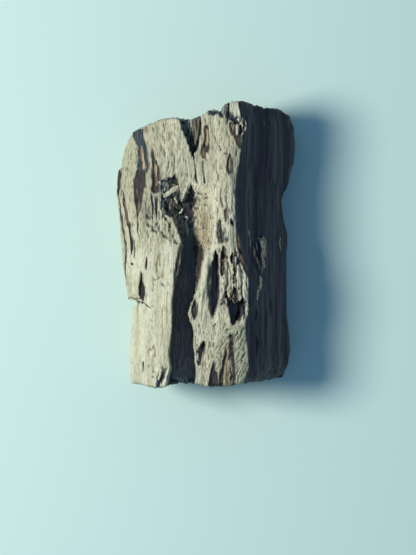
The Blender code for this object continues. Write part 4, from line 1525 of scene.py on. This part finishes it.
    def worn_tones(self, x: Array, y: Array) -> Iterator[tuple[Tone, Array]]:
        """Go through what the worn side shows, as shares that cross 0.5 on a mark's edge.

        Args:
            x, y: Places across the grain and along it.

        Returns:
            Each tone with its share at every place. Of several shares the highest one counts.
        """
        fade_out = ease(*self.shade_fill_y, y)
        for mark in SCAR_MARKS + EMBER_MARKS + CRACK_MARKS + STAIN_MARKS + HOLLOW_MARKS:
            if mark.tone is None:
                continue
            inside = mark.form.inside(x, y)
            edge = self.line_edge if isinstance(mark.form, Line) else self.area_edge
            yield mark.tone, crossing(inside, edge)
            if mark.tone is Tone.EMBER:
                yield Tone.RUST, crossing(inside + self.halo, edge)
            if mark.tone is Tone.HOLLOW:
                # Painted fill light inside the rotted pockets
                yield Tone.SHADE_FILL, ease(*self.shade_fill_edge, inside) * fade_out
        groove = self.block.groove
        depth = groove.floor_depth(x, y)
        # Rot colour up to the hollow's rim: the rot's own colour, and painted shade on its walls
        yield Tone.HOLLOW, crossing(groove.form.inside(x, y), self.line_edge) * ease(*groove.head_y, y)
        yield Tone.HOLLOW, ease(*self.rot_depth, depth) * ease(*groove.mouth_y, y)
        # Painted fill light where the groove lies in shade
        yield Tone.SHADE_FILL, ease(*self.shade_fill_depth, depth) * fade_out
        # Darkened grain, painted shade at the bank's foot and beside its crest, giving way down the groove
        yield Tone.DIRT_AND_SHADE, self.fibres.dirt_and_shade(x, y) * ease(*self.dirt_and_shade_depth, depth)
        wedge = self.block.wedge
        inside = crossing(wedge.form.inside(x, y), self.line_edge)
        yield Tone.UMBER, inside
        # The wedge's shaded left part takes the rot colour as painted shade
        yield Tone.HOLLOW, inside * ease(*wedge.shade_way, wedge.way(x, y))

    def tones(self, skin: Skin) -> dict[Tone, Array]:
        """Work out what shows at each point.

        Args:
            skin: The points.

        Returns:
            One share for each tone and point.
        """
        made = {tone: np.zeros(skin.x.shape) for tone in Tone}
        for tone, share in self.worn_tones(*self.block.frayed(skin.x, skin.y)):
            made[tone] = np.maximum(made[tone], share * skin.worn)
        made[Tone.OLIVE_HIGHLIGHT] *= self.torn_share
        side = crossing(self.fibres.side_scar(skin.grain), self.line_edge) * (1.0 - skin.worn)
        made[Tone.SCAR] = np.where(skin.is_end, 0.0, np.maximum(made[Tone.SCAR], side))
        made[Tone.SPLIT] = crossing(skin.right, self.line_edge)
        made[Tone.END] = np.where(skin.is_end, 1.0, 0.0)
        made[Tone.BLEACH] = self.fibres.bleach(skin.x, skin.y)
        return made

    def relief(self, skin: Skin, scar: Array, surfaces: dict[Surface, Array]) -> Array:
        """Work out the fine relief.

        Args:
            skin: The points.
            scar: How far each point is scarred.
            surfaces: Share of each kind of surface at each point.

        Returns:
            Height above the main form, in millimetres.
        """
        relief = self.fibres.height(skin.grain, surfaces)
        straight = ease(0.0, self.crest_fade, skin.right) * (1.0 - surfaces[Surface.RUGGED])
        relief = blend(relief, self.fibres.split_height(skin.points), straight)
        sunk = self.fibres.side_scar_depth * ease(*self.side_scar_edge, scar)
        relief -= sunk * (1.0 - skin.worn)
        relief *= np.where(skin.is_end, self.end_relief, 1.0)
        return np.where(skin.is_under, np.minimum(relief, 0.0) * self.under_relief, relief)

    def build(self) -> bpy.types.Object:
        """Make the chunk's mesh with its fine relief and marks.

        Returns:
            The object, in metres and without a finish.
        """
        across, along, up, faces = self.lattice()
        skin = self.skin(across, along, up)
        mesh = bpy.data.meshes.new(self.name)
        mesh.from_pydata(skin.points.tolist(), [], faces)
        mesh.calc_loop_triangles()
        corners = np.empty(len(mesh.loop_triangles) * 3, np.int32)
        mesh.loop_triangles.foreach_get("vertices", corners)
        corners = corners.reshape(-1, 3)
        log.info("chunk lattice: %d points, %d triangles", len(skin.points), len(corners))

        tones = self.tones(skin)
        surfaces = self.fibres.surfaces(skin.x, skin.y, skin.worn)
        relief = self.relief(skin, tones[Tone.SCAR], surfaces)
        points = skin.points + self.normals(skin.points, corners) * relief[:, None]
        points[:, 2] = np.maximum(points[:, 2], 0.0)
        # Painted shade: the finish darkens each point by how far it lies in a recess
        drawn_in = self.smoothed(points, corners, self.recess_rounds) - points
        sunk = np.sum(drawn_in * self.normals(points, corners), axis=1)
        tones[Tone.RECESS_SHADE] = crossing(sunk, self.recess_depth)

        mesh.vertices.foreach_set("co", (points * MM).astype(np.float32).ravel())
        carry(mesh, tones | surfaces, skin.grain)
        mesh.shade_smooth()
        mesh.update()
        return linked(self.name, mesh)


@dataclass(frozen=True)
class Splinter:
    """A broken-off fibre or flake. Its path is (x, y, depth under the worn surface)."""

    path: tuple[tuple[float, float, float], ...]
    width: float
    thickness: float
    tone: Tone | None = None
    stations: int = 14
    sides: int = 8
    # Thinning towards the ends, and unevenness of the width as share, waves and waves in those
    steep: float = 5.0
    tip: float = 0.12
    ragged: tuple[float, float, float] = (0.25, 17.0, 5.0)

    def points(self, block: WornBlock) -> Array:
        """Rings of points along the path.

        Args:
            block: The chunk that the splinter sits on.

        Returns:
            Points as rows of x, y and z, ring after ring.
        """
        way = np.linspace(0.0, 1.0, self.stations)
        knots = np.linspace(0.0, 1.0, len(self.path))
        x, y, depth = (np.interp(way, knots, values) for values in zip(*self.path))
        z = block.section(x, y) - depth
        run_x = np.gradient(x)
        run_y = np.gradient(y)
        run = np.hypot(run_x, run_y)
        thin = taper(way, self.steep, self.tip)
        share, waves, slow_waves = self.ragged
        half = 0.5 * self.width * thin * (1.0 + share * np.sin(waves * way) * np.cos(slow_waves * way))
        turn = np.linspace(0.0, 2.0 * math.pi, self.sides, endpoint=False)
        across = np.cos(turn)[None, :] * half[:, None]
        up = np.sin(turn)[None, :] * 0.5 * self.thickness * thin[:, None]
        ring_x = x[:, None] + across * (run_y / run)[:, None]
        ring_y = y[:, None] - across * (run_x / run)[:, None]
        return np.stack((ring_x, ring_y, z[:, None] + up), axis=-1).reshape(-1, 3)

    def faces(self, start: int) -> Faces:
        """Join the rings of points and close both ends.

        Args:
            start: Number of the splinter's first point.

        Returns:
            The faces, facing out.
        """
        faces: Faces = []
        for ring, side in product(range(self.stations - 1), range(self.sides)):
            a = start + ring * self.sides + side
            b = start + ring * self.sides + (side + 1) % self.sides
            faces.append((a, b, b + self.sides, a + self.sides))
        last = start + (self.stations - 1) * self.sides
        faces.append(tuple(range(start + self.sides - 1, start - 1, -1)))
        faces.append(tuple(range(last, last + self.sides)))
        return faces


SPLINTERS = (
    # Flake lying in the hollow, and fibres that hang into it
    Splinter(((-14.9, 16.5, 0.9), (-12.2, 18.4, 1.1), (-9.2, 20.7, 1.4)), 1.7, 0.8),
    Splinter(((-8.0, 12.6, 1.8), (-8.5, 11.4, 2.8), (-9.4, 10.7, 3.4)), 0.6, 0.5),
    Splinter(((-10.9, 16.5, 3.2), (-10.4, 15.5, 3.4), (-9.8, 14.3, 3.6)), 0.7, 0.5),
    Splinter(((-7.2, 9.8, 3.8), (-6.0, 9.4, 3.4)), 0.6, 0.5),
    # Torn fibres beside the knot
    Splinter(((12.9, 44.1, -0.8), (12.7, 42.9, -1.0), (12.3, 42.1, -0.7), (11.4, 41.5, -0.2)), 0.56, 0.4),
    Splinter(((13.6, 43.4, -1.7), (14.0, 42.0, -2.0), (13.9, 40.4, -1.8), (13.5, 39.3, -1.3)), 0.56, 0.4),
    Splinter(((13.1, 39.0, -0.9), (12.8, 38.5, -0.7), (12.4, 37.9, -0.3)), 0.5, 0.4),
    Splinter(((12.5, 42.2, -0.8), (12.8, 41.4, -1.2), (12.7, 40.6, -0.7)), 0.5, 0.4),
    # Bits caught in the notch
    Splinter(((-23.4, -19.4, 0.3), (-22.4, -19.9, 0.1), (-21.2, -20.6, 0.2)), 0.9, 0.6, Tone.SLATE),
    Splinter(((-22.3, -18.9, 0.4), (-21.5, -19.6, 0.1)), 0.5, 0.5, Tone.SLATE),
    # Fibres torn up from the split side
    Splinter(((17.5, 1.0, 0.1), (17.8, -0.8, -1.0), (18.1, -2.4, 0.1)), 0.34, 0.4),
    Splinter(((18.6, 2.4, 0.1), (19.2, 0.8, -3.0), (19.4, -1.2, -2.8)), 0.3, 0.4),
    Splinter(((20.8, 1.2, -2.4), (20.5, -1.0, -3.8), (20.6, -3.0, -3.4)), 0.34, 0.4),
    Splinter(((19.3, -2.6, -3.2), (19.8, -4.6, -3.9), (20.1, -6.4, -3.0)), 0.3, 0.4),
    Splinter(((20.2, -7.0, -2.6), (19.7, -8.8, -2.2), (19.4, -10.4, -0.8)), 0.34, 0.4),
    Splinter(((19.0, -12.0, -1.2), (18.8, -14.0, -2.2), (18.6, -16.4, -0.6)), 0.26, 0.4),
    Splinter(((14.8, 5.4, 0.1), (15.0, 3.4, -0.5), (15.4, 1.6, 0.1)), 0.3, 0.4),
)


@dataclass(frozen=True)
class SplinterMesh:
    """The loose fibres and flakes as one mesh."""

    block: WornBlock
    fibres: Fibres
    name: str = "splinters"
    splinters: tuple[Splinter, ...] = SPLINTERS
    bleach: float = 0.6

    def build(self) -> bpy.types.Object:
        """Make the mesh.

        Returns:
            The object, in metres and without a finish.
        """
        made = [splinter.points(self.block) for splinter in self.splinters]
        faces: Faces = []
        start = 0
        for splinter, points in zip(self.splinters, made):
            faces += splinter.faces(start)
            start += len(points)
        place = np.concatenate(made)
        is_slate = [splinter.tone is Tone.SLATE for splinter in self.splinters]
        slate = np.repeat(is_slate, [len(points) for points in made])
        mesh = bpy.data.meshes.new(self.name)
        mesh.from_pydata((place * MM).tolist(), [], faces)
        tones = {Tone.SLATE: slate, Tone.BLEACH: np.full(len(place), self.bleach)}
        carry(mesh, tones, self.fibres.grain(place))
        mesh.shade_smooth()
        return linked(self.name, mesh)


def srgb(code: str) -> tuple[float, float, float, float]:
    """Turn an sRGB hex colour linear.

    Args:
        code: Six hex digits.

    Returns:
        Linear red, green and blue, and full opacity.
    """
    channels = [int(code[k:k + 2], 16) / 255.0 for k in (0, 2, 4)]
    linear = [c / 12.92 if c <= 0.04045 else ((c + 0.055) / 1.055) ** 2.4 for c in channels]
    return (*linear, 1.0)


@dataclass(frozen=True)
class Streaked:
    """Two colours in streaks: dark where a pattern is under low, bright where it is over high."""

    dark: str
    bright: str
    low: float
    high: float


@dataclass(frozen=True)
class BleachedSapwood:
    """Palo santo bleached by sun and rain: pale, dry and matt, with grey in its pits; the same grey darkens
    its recesses as painted shade.
    """

    bright: str = "CBCDB8"
    mid: str = "A9AA92"
    shade: str = "78735D"
    # Grey of the pits, also laid in recesses as painted shade
    pit: str = "4E4C44"
    # Old grey-green surface of the wrinkled end
    grey: str = "9CA48F"
    grey_share: float = 0.7
    # How much of the bleaching is added to the broad streaks
    bleach_share: float = 0.5
    # How much of the dashes the smooth places lack
    smooth_share: float = 0.55
    # Where each pattern covers the wood
    bleached: Cover = (0.5, 1.0, 1.0)
    mottled: Cover = (0.45, 0.75, 0.35)
    dashed: Cover = (0.53, 0.66, 0.8)
    lined: Cover = (0.56, 0.70, 0.5)
    wrinkled: Cover = (0.52, 0.64, 0.45)
    # Painted shade: where recesses take the pit grey
    recess_shade_cover: Cover = (0.55, 0.9, 0.85)
    roughness: float = 0.88
    ior: float = 1.45


@dataclass(frozen=True)
class TanHeartwood:
    """Heartwood worn open: granular and tan on the bank, olive-brown inside the scars."""

    worn_open: Streaked = Streaked("7F7762", "BAB59A", 0.35, 0.65)
    # Its share of a granular place is this less the bleaching
    bleach_limit: float = 1.4
    stain: Streaked = Streaked("625C4A", "9E967C", 0.4, 0.6)


@dataclass(frozen=True)
class ResinScar:
    """Scars filled with old resin: streaks from plum-brown to almost black, with a dull gleam."""

    plum: Streaked = Streaked("1A171A", "282225", 0.42, 0.65)
    slate: Streaked = Streaked("272F37", "3E4952", 0.4, 0.6)
    umber: Streaked = Streaked("3F3E3A", "7F7D72", 0.44, 0.68)
    # Dark of the cracks, also laid as painted shade in the hollow, the slot and the forked pocket
    crack: str = "3D3B45"
    ember: str = "B0A284"
    rust: str = "766253"
    roughness: float = 0.62
    gleam_fray: float = 1.4


@dataclass(frozen=True)
class SplitFace:
    """The split side: dark, resin-soaked heartwood with slightly paler raised fibres, and warm bright torn
    fibres that are partly painted light.
    """

    fibres: Streaked = Streaked("36303B", "7A706B", 0.3, 0.75)
    hair: str = "7F7762"
    # Warm pale fibres, in part painted light standing for the light they catch
    olive: str = "F0D0A6"
    lined: Cover = (0.45, 0.62, 0.85)
    haired: Cover = (0.66, 0.78, 0.6)
    # The streaks run on down the side, so height counts for little in them
    height_share: float = 0.2


@dataclass(frozen=True)
class RottedHollow:
    """Rot in the hollow, the groove and the pockets: weathered grey with dark pits; an even mid grey is
    painted fill light where the groove lies in shade, and a near-black is painted shade.
    """

    rot: Streaked = Streaked("3C3E41", "B8BAAE", 0.42, 0.62)
    # Even mid grey as painted fill light where the groove and the pockets lie in shade
    shade_fill: Streaked = Streaked("747176", "928D8C", 0.4, 0.66)
    # Near-black of the darkened grain, painted shade at the bank's foot and beside its crest
    dirt_and_shade: str = "2B2A2C"
    # How much more the dashes of the grain are darkened
    dirt_and_shade_in_dashes: float = 0.8
    dirt_and_shade_cover: Cover = (0.66, 1.14, 1.0)


@dataclass(frozen=True)
class EndGrain:
    """Broken end grain: rough, dirty fibre ends with faint rings round a pith below the chunk."""

    rings: Streaked = Streaked("857B67", "A0967F", -0.7, 0.9)
    pore: str = "4F473B"
    ring_spacing: float = 1.8
    ring_wander: float = 5.0
    pith: tuple[float, float, float] = (-6.0, 0.0, -9.0)
    greyed: Cover = (0.4, 0.7, 0.5)
    pored: Cover = (0.55, 0.68, 0.8)


class Pattern(Enum):
    """Noise patterns as (size across the grain, size along it, number of finer layers).

    Palo santo's grain lines and pits are 0.1 to 0.3 mm wide, so the narrow patterns are drawn
    coarser than real, to show in pixels that are 0.35 mm wide.
    """

    FINE = (0.5, 5.0, 3.0)
    MEDIUM = (1.2, 9.0, 2.0)
    BROAD = (3.2, 26.0, 2.0)
    MOTTLE = (0.9, 1.7, 2.0)
    DASHES = (0.42, 2.1, 2.0)
    GRIT = (0.48, 0.62, 2.0)
    WRINKLES = (0.42, 1.2, 2.0)
    SPLIT_BROAD = (2.2, 90.0, 2.0)
    SPLIT_FINE = (0.55, 22.0, 2.0)
    SPLIT_HAIR = (0.38, 12.0, 1.0)
    # Patterns of the ends, where the length along the grain doesn't count
    END_WANDER = (7.0, 1.0, 2.0)
    END_STAIN = (9.0, 1.0, 3.0)
    END_PORE = (0.6, 1.0, 2.0)


# How far fine streaks fray the edges of each tone, and how far it covers what is under it
COATS = {
    Tone.SPLIT: (0.5, 1.0),
    Tone.OLIVE_HIGHLIGHT: (3.0, 1.0),
    Tone.UMBER: (1.2, 1.0),
    Tone.SCAR: (0.7, 1.0),
    Tone.SLATE: (1.2, 1.0),
    Tone.HOLLOW: (1.2, 1.0),
    Tone.RUST: (1.6, 0.8),
    Tone.EMBER: (1.4, 0.9),
    Tone.TAN: (1.2, 0.85),
    Tone.CRACK_AND_SHADE: (0.6, 1.0),
    Tone.PALE: (0.8, 1.0),
}


@dataclass
class WeatheredPaloSanto:
    """The wood's finish: its layers mixed by the marks that the mesh carries."""

    sapwood: BleachedSapwood = BleachedSapwood()
    tan: TanHeartwood = TanHeartwood()
    scar: ResinScar = ResinScar()
    split: SplitFace = SplitFace()
    hollow: RottedHollow = RottedHollow()
    end: EndGrain = EndGrain()
    # Turn of the wrinkles away from the grain, in radians
    slant: float = 0.42
    # Half the width over which a frayed edge fades, and the share under which no mark shows
    sharpness: float = 0.18
    faintest: float = 0.3
    bump_strength: float = 0.9
    bump_height: float = 0.3
    tree: bpy.types.NodeTree | None = field(default=None, init=False)
    # What the mesh carries and the patterns on the worn side, by name
    shown: dict[Enum, Socket] = field(default_factory=dict, init=False)

    def build(self, name: str) -> bpy.types.Material:
        """Make the material.

        Args:
            name: Name of the new material.

        Returns:
            The material, with its nodes linked.
        """
        material = bpy.data.materials.new(name)
        material.use_nodes = True
        self.tree = material.node_tree
        self.tree.nodes.clear()
        for kind in (*Tone, *Surface):
            self.shown[kind] = self.add("Attribute", (), "Fac", attribute_name=kind.value)
        grain = self.add("Attribute", (), "Vector", attribute_name=GRAIN)
        for pattern in (Pattern.FINE, Pattern.MEDIUM, Pattern.BROAD, Pattern.MOTTLE):
            self.shown[pattern] = self.streaks(grain, pattern)
        self.shown[Pattern.DASHES] = self.dashes(grain)
        fine, dashes = self.shown[Pattern.FINE], self.shown[Pattern.DASHES]
        scarred = self.edge(Tone.SCAR, self.scar.gleam_fray)
        rough = self.add(
            "Mix", {0: scarred, 2: self.sapwood.roughness, 3: self.scar.roughness}, data_type="FLOAT"
        )
        height = self.add("Math", (fine, dashes), operation="SUBTRACT")
        relief = {"Strength": self.bump_strength, "Distance": self.bump_height * MM, "Height": height}
        look = {"Base Color": self.marked(self.worn()), "Roughness": rough, "Metallic": 0.0}
        look |= {"IOR": self.sapwood.ior, "Normal": self.add("Bump", relief)}
        shader = self.add("BsdfPrincipled", look)
        self.add("OutputMaterial", {"Surface": shader})
        return material

    def dashes(self, grain: Socket) -> Socket:
        """Short dark dashes in the grain, with grit and slanting wrinkles in their places.

        Args:
            grain: Coordinates that follow the grain.

        Returns:
            A value from 0 to 1.
        """
        slanted = self.add("VectorRotate", {0: grain, "Angle": self.slant}, rotation_type="Z_AXIS")
        dashes = self.streaks(grain, Pattern.DASHES)
        kinds = {
            Surface.GRANULAR: self.streaks(grain, Pattern.GRIT),
            Surface.WRINKLED: self.streaks(slanted, Pattern.WRINKLES),
        }
        for surface, other in kinds.items():
            dashes = self.add("Mix", {0: self.shown[surface], 2: dashes, 3: other}, data_type="FLOAT")
        return dashes

    def worn(self) -> Socket:
        """Colour of the bleached and worn wood without its marks.

        Returns:
            The colour.
        """
        wood, shown = self.sapwood, self.shown
        fine, dashes, broad = shown[Pattern.FINE], shown[Pattern.DASHES], shown[Pattern.BROAD]
        wrinkled = shown[Surface.WRINKLED]
        bleach = self.add("Math", (shown[Tone.BLEACH], wood.bleach_share, broad), operation="MULTIPLY_ADD")
        colour = self.cover(wood.mid, wood.bright, bleach, wood.bleached)
        colour = self.cover(colour, wood.shade, shown[Pattern.MOTTLE], wood.mottled)
        colour = self.lay(colour, wood.grey, wrinkled, wood.grey_share)
        tan = self.streaked(Pattern.MEDIUM, self.tan.worn_open)
        opened = self.add("Math", (self.tan.bleach_limit, shown[Tone.BLEACH]), operation="SUBTRACT")
        colour = self.lay(colour, tan, opened, shown[Surface.GRANULAR])
        rough = self.add("Math", (shown[Surface.SMOOTH], -wood.smooth_share, 1.0), operation="MULTIPLY_ADD")
        colour = self.cover(colour, wood.shade, dashes, wood.dashed, rough)
        colour = self.cover(colour, wood.shade, fine, wood.lined, rough)
        colour = self.cover(colour, wood.pit, dashes, wood.wrinkled, wrinkled)
        # Painted shade: recesses darkened towards the pit grey
        return self.cover(colour, wood.pit, shown[Tone.RECESS_SHADE], wood.recess_shade_cover)

    def marked(self, colour: Socket) -> Socket:
        """Lay the split side, the ends and all marks over the worn wood.

        Args:
            colour: Colour of the worn wood.

        Returns:
            The colour with everything on it.
        """
        scar, hollow, shown = self.scar, self.hollow, self.shown
        place = self.add("TexCoord", (), "Object")
        straight = self.add("VectorMath", {0: place, "Scale": 1.0 / MM}, operation="SCALE")
        rot = self.streaked(Pattern.MOTTLE, hollow.rot)
        layers = {
            Tone.SPLIT: self.split_colour(straight),
            Tone.OLIVE_HIGHLIGHT: self.split.olive,
            Tone.END: self.end_colour(straight),
            Tone.UMBER: self.streaked(Pattern.FINE, scar.umber),
            Tone.SCAR: self.streaked(Pattern.FINE, scar.plum),
            Tone.SLATE: self.streaked(Pattern.MEDIUM, scar.slate),
            # Rot, with painted fill light where the groove lies in shade
            Tone.HOLLOW: self.lay(rot, self.streaked(Pattern.FINE, hollow.shade_fill), shown[Tone.SHADE_FILL]),
            Tone.DIRT_AND_SHADE: hollow.dirt_and_shade,
            Tone.RUST: scar.rust,
            Tone.EMBER: scar.ember,
            Tone.TAN: self.streaked(Pattern.FINE, self.tan.stain),
            Tone.CRACK_AND_SHADE: scar.crack,
            Tone.PALE: self.sapwood.bright,
        }
        in_dashes = (shown[Pattern.DASHES], hollow.dirt_and_shade_in_dashes, shown[Tone.DIRT_AND_SHADE])
        for tone, over in layers.items():
            if tone is Tone.END:
                colour = self.lay(colour, over, shown[tone])
            # Darkened grain, painted shade, heavier in the dashes of the grain
            elif tone is Tone.DIRT_AND_SHADE:
                dirt_and_shade = self.add("Math", in_dashes, operation="MULTIPLY_ADD")
                colour = self.cover(colour, over, dirt_and_shade, hollow.dirt_and_shade_cover)
            else:
                fray, amount = COATS[tone]
                colour = self.lay(colour, over, self.edge(tone, fray), amount)
        return colour

    def split_colour(self, place: Socket) -> Socket:
        """Colour of the split side, in straight streaks.

        Args:
            place: Coordinates in millimetres.

        Returns:
            The colour.
        """
        split = self.split
        flat = self.add("VectorMath", (place, (1.0, 1.0, split.height_share)), operation="MULTIPLY")
        broad, fine, hair = (
            self.streaks(flat, pattern)
            for pattern in (Pattern.SPLIT_BROAD, Pattern.SPLIT_FINE, Pattern.SPLIT_HAIR)
        )
        colour = self.streaked(broad, split.fibres)
        colour = self.cover(colour, split.fibres.dark, fine, split.lined)
        return self.cover(colour, split.hair, hair, split.haired)

    def end_colour(self, place: Socket) -> Socket:
        """Colour of the broken ends.

        Args:
            place: Coordinates in millimetres.

        Returns:
            The colour.
        """
        end = self.end
        away = self.add("VectorMath", (place, end.pith), operation="SUBTRACT")
        flat = self.add("VectorMath", (away, (1.0, 0.0, 1.0)), operation="MULTIPLY")
        radius = self.add("VectorMath", (flat,), "Value", operation="LENGTH")
        wander = self.streaks(flat, Pattern.END_WANDER)
        bent = self.add("Math", (wander, end.ring_wander, radius), operation="MULTIPLY_ADD")
        turn = self.add("Math", (bent, 2.0 * math.pi / end.ring_spacing), operation="MULTIPLY")
        colour = self.streaked(self.add("Math", (turn,), operation="SINE"), end.rings)
        stain = self.streaks(flat, Pattern.END_STAIN)
        colour = self.cover(colour, self.sapwood.grey, stain, end.greyed)
        return self.cover(colour, end.pore, self.streaks(flat, Pattern.END_PORE), end.pored)

    def add(
        self, kind: str, inputs: tuple[Value, ...] | dict[int | str, Value], output: int | str = 0,
        **settings: str,
    ) -> Socket | None:
        """Add a node with its settings and links.

        Args:
            kind: Blender's name of the node's kind, without ShaderNode.
            inputs: A socket to link, or a value to set, for its first inputs or by input.
            output: Name or number of the output to give back.
            settings: Properties to set on the node.

        Returns:
            The output socket, or None where the node has none.
        """
        node = self.tree.nodes.new(f"ShaderNode{kind}")
        for key, value in settings.items():
            setattr(node, key, value)
        for key, value in inputs.items() if isinstance(inputs, dict) else enumerate(inputs):
            if isinstance(value, Socket):
                self.tree.links.new(value, node.inputs[key])
            else:
                node.inputs[key].default_value = value
        return node.outputs[output] if node.outputs else None

    def streaks(self, grain: Socket, pattern: Pattern) -> Socket:
        """Noise drawn out along the grain.

        Args:
            grain: Coordinates that follow the grain, in millimetres.
            pattern: Which noise.

        Returns:
            A value from 0 to 1.
        """
        across, along, detail = pattern.value
        per_mm = (1.0 / across, 1.0 / along, 1.0 / across)
        scaled = self.add("VectorMath", (grain, per_mm), operation="MULTIPLY")
        return self.add("TexNoise", {"Vector": scaled, "Scale": 1.0, "Detail": detail}, "Fac")

    def streaked(self, pattern: Pattern | Socket, colours: Streaked) -> Socket:
        """Mix two colours in streaks that follow a pattern or another value."""
        value = self.shown[pattern] if isinstance(pattern, Pattern) else pattern
        return self.cover(colours.dark, colours.bright, value, (colours.low, colours.high, 1.0))

    def lay(self, under: Socket | str, over: Socket | str, *shares: Value) -> Socket:
        """Lay one colour over another.

        Args:
            under: The colour underneath, as a socket or sRGB hex digits.
            over: The colour on top.
            shares: How far it covers, as shares that are multiplied.

        Returns:
            The mixed colour.
        """
        share, *others = shares
        for other in others:
            share = self.add("Math", (share, other), operation="MULTIPLY")
        first, second = (srgb(c) if isinstance(c, str) else c for c in (under, over))
        return self.add("Mix", {0: share, 6: first, 7: second}, 2, data_type="RGBA")

    def cover(
        self, under: Socket | str, over: Socket | str, pattern: Socket, reach: Cover, *within: Value
    ) -> Socket:
        """Lay one colour over another where a pattern is strong.

        Args:
            under: The colour underneath.
            over: The colour on top.
            pattern: The pattern that is followed.
            reach: Where the pattern begins to cover, where it covers fully, and the share it covers.
            within: More shares, which it is multiplied by.

        Returns:
            The mixed colour.
        """
        low, high, amount = reach
        levels = {"Value": pattern, "From Min": low, "From Max": high, "To Max": amount}
        share = self.add("MapRange", levels, interpolation_type="SMOOTHSTEP")
        return self.lay(under, over, share, *within)

    def edge(self, tone: Tone, fray: float) -> Socket:
        """Sharpen the marks' edges and fray them along the grain.

        Args:
            tone: Which marks.
            fray: How far the fine streaks move their edges.

        Returns:
            0 outside the marks, rising to 1 inside them.
        """
        marks = self.shown[tone]
        frayed = self.add("Math", (self.shown[Pattern.FINE], fray, marks), operation="MULTIPLY_ADD")
        middle = 0.5 + fray / 2.0
        sharp, kept = (
            self.add(
                "MapRange", {"Value": value, "From Min": low, "From Max": high},
                interpolation_type="SMOOTHSTEP",
            )
            for value, low, high in (
                (frayed, middle - self.sharpness, middle + self.sharpness),
                (marks, 0.0, self.faintest),
            )
        )
        return self.add("Math", (sharp, kept), operation="MULTIPLY")


@dataclass
class Studio:
    """The pale floor, the soft light from the left and the camera straight above."""

    # Millimetres shown from top to bottom of the picture, and the point at its centre
    view_height: float = 195.7
    view_centre: tuple[float, float] = (0.8, -11.45)
    camera_height: float = 2500.0
    light_elevation: float = 46.0
    light_heading: float = 175.0
    light_distance: float = 900.0
    light_size: float = 300.0
    light_strength: float = 0.84
    light_colour: tuple[float, float, float] = (1.0, 0.93, 0.80)
    ambient: tuple[float, float, float] = (0.12, 0.22, 0.33)
    floor_colour: str = "C4E0DF"
    floor_roughness: float = 0.9
    floor_half_width: float = 6000.0
    sensor_width: float = 36.0
    farthest: float = 20000.0

    def floor(self) -> None:
        """Lay the floor."""
        half = self.floor_half_width * MM
        corners = [(-half, -half, 0.0), (half, -half, 0.0), (half, half, 0.0), (-half, half, 0.0)]
        mesh = bpy.data.meshes.new("floor")
        mesh.from_pydata(corners, [], [(0, 1, 2, 3)])
        material = bpy.data.materials.new("pale_matt_board")
        material.use_nodes = True
        shader = material.node_tree.nodes["Principled BSDF"]
        shader.inputs["Base Color"].default_value = srgb(self.floor_colour)
        shader.inputs["Roughness"].default_value = self.floor_roughness
        mesh.materials.append(material)
        linked("floor", mesh)

    def light(self) -> None:
        """Hang the soft light, and fill the shade with a weak cool light."""
        data = bpy.data.lights.new("softbox", "AREA")
        data.shape = "DISK"
        data.size = self.light_size * MM
        data.color = self.light_colour
        distance = self.light_distance * MM
        elevation = math.radians(self.light_elevation)
        data.energy = self.light_strength * math.pi**2 * distance**2 / math.sin(elevation)
        heading = math.radians(self.light_heading)
        light = linked("softbox", data)
        light.location = (
            distance * math.cos(elevation) * math.cos(heading),
            distance * math.cos(elevation) * math.sin(heading),
            distance * math.sin(elevation),
        )
        light.rotation_euler = light.location.to_track_quat("Z", "Y").to_euler()
        light.visible_camera = False
        world = bpy.data.worlds.new("cool_fill")
        world.use_nodes = True
        back = world.node_tree.nodes["Background"]
        back.inputs["Color"].default_value = (*self.ambient, 1.0)
        back.inputs["Strength"].default_value = 1.0
        bpy.context.scene.world = world

    def camera(self) -> None:
        """Set the camera over the chunk, far enough away that heights don't shift its features."""
        data = bpy.data.cameras.new("camera")
        data.sensor_width = self.sensor_width
        data.lens = self.sensor_width * self.camera_height / self.view_height
        data.clip_end = self.farthest * MM
        camera = linked("camera", data)
        x, y = self.view_centre
        camera.location = (x * MM, y * MM, self.camera_height * MM)
        bpy.context.scene.camera = camera

    def build(self) -> None:
        """Set up the whole studio."""
        self.floor()
        self.light()
        self.camera()
        scene = bpy.context.scene
        scene.view_settings.view_transform = "Standard"
        scene.view_settings.look = "None"


def main() -> None:
    """Build the chunk and the studio, and report each piece."""
    logging.basicConfig(level=logging.INFO, format="%(message)s")
    block = WornBlock()
    fibres = Fibres()
    wood = WeatheredPaloSanto().build("weathered_palo_santo")
    for piece in (ChunkMesh(block, fibres).build(), SplinterMesh(block, fibres).build()):
        piece.data.materials.append(wood)
        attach(piece, BODY)
        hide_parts(NODE)
        log.info("%s: %d faces", piece.name, len(piece.data.polygons))
    Studio().build()
    log.info("studio: floor, light and camera")


if __name__ == "__main__":
    main()
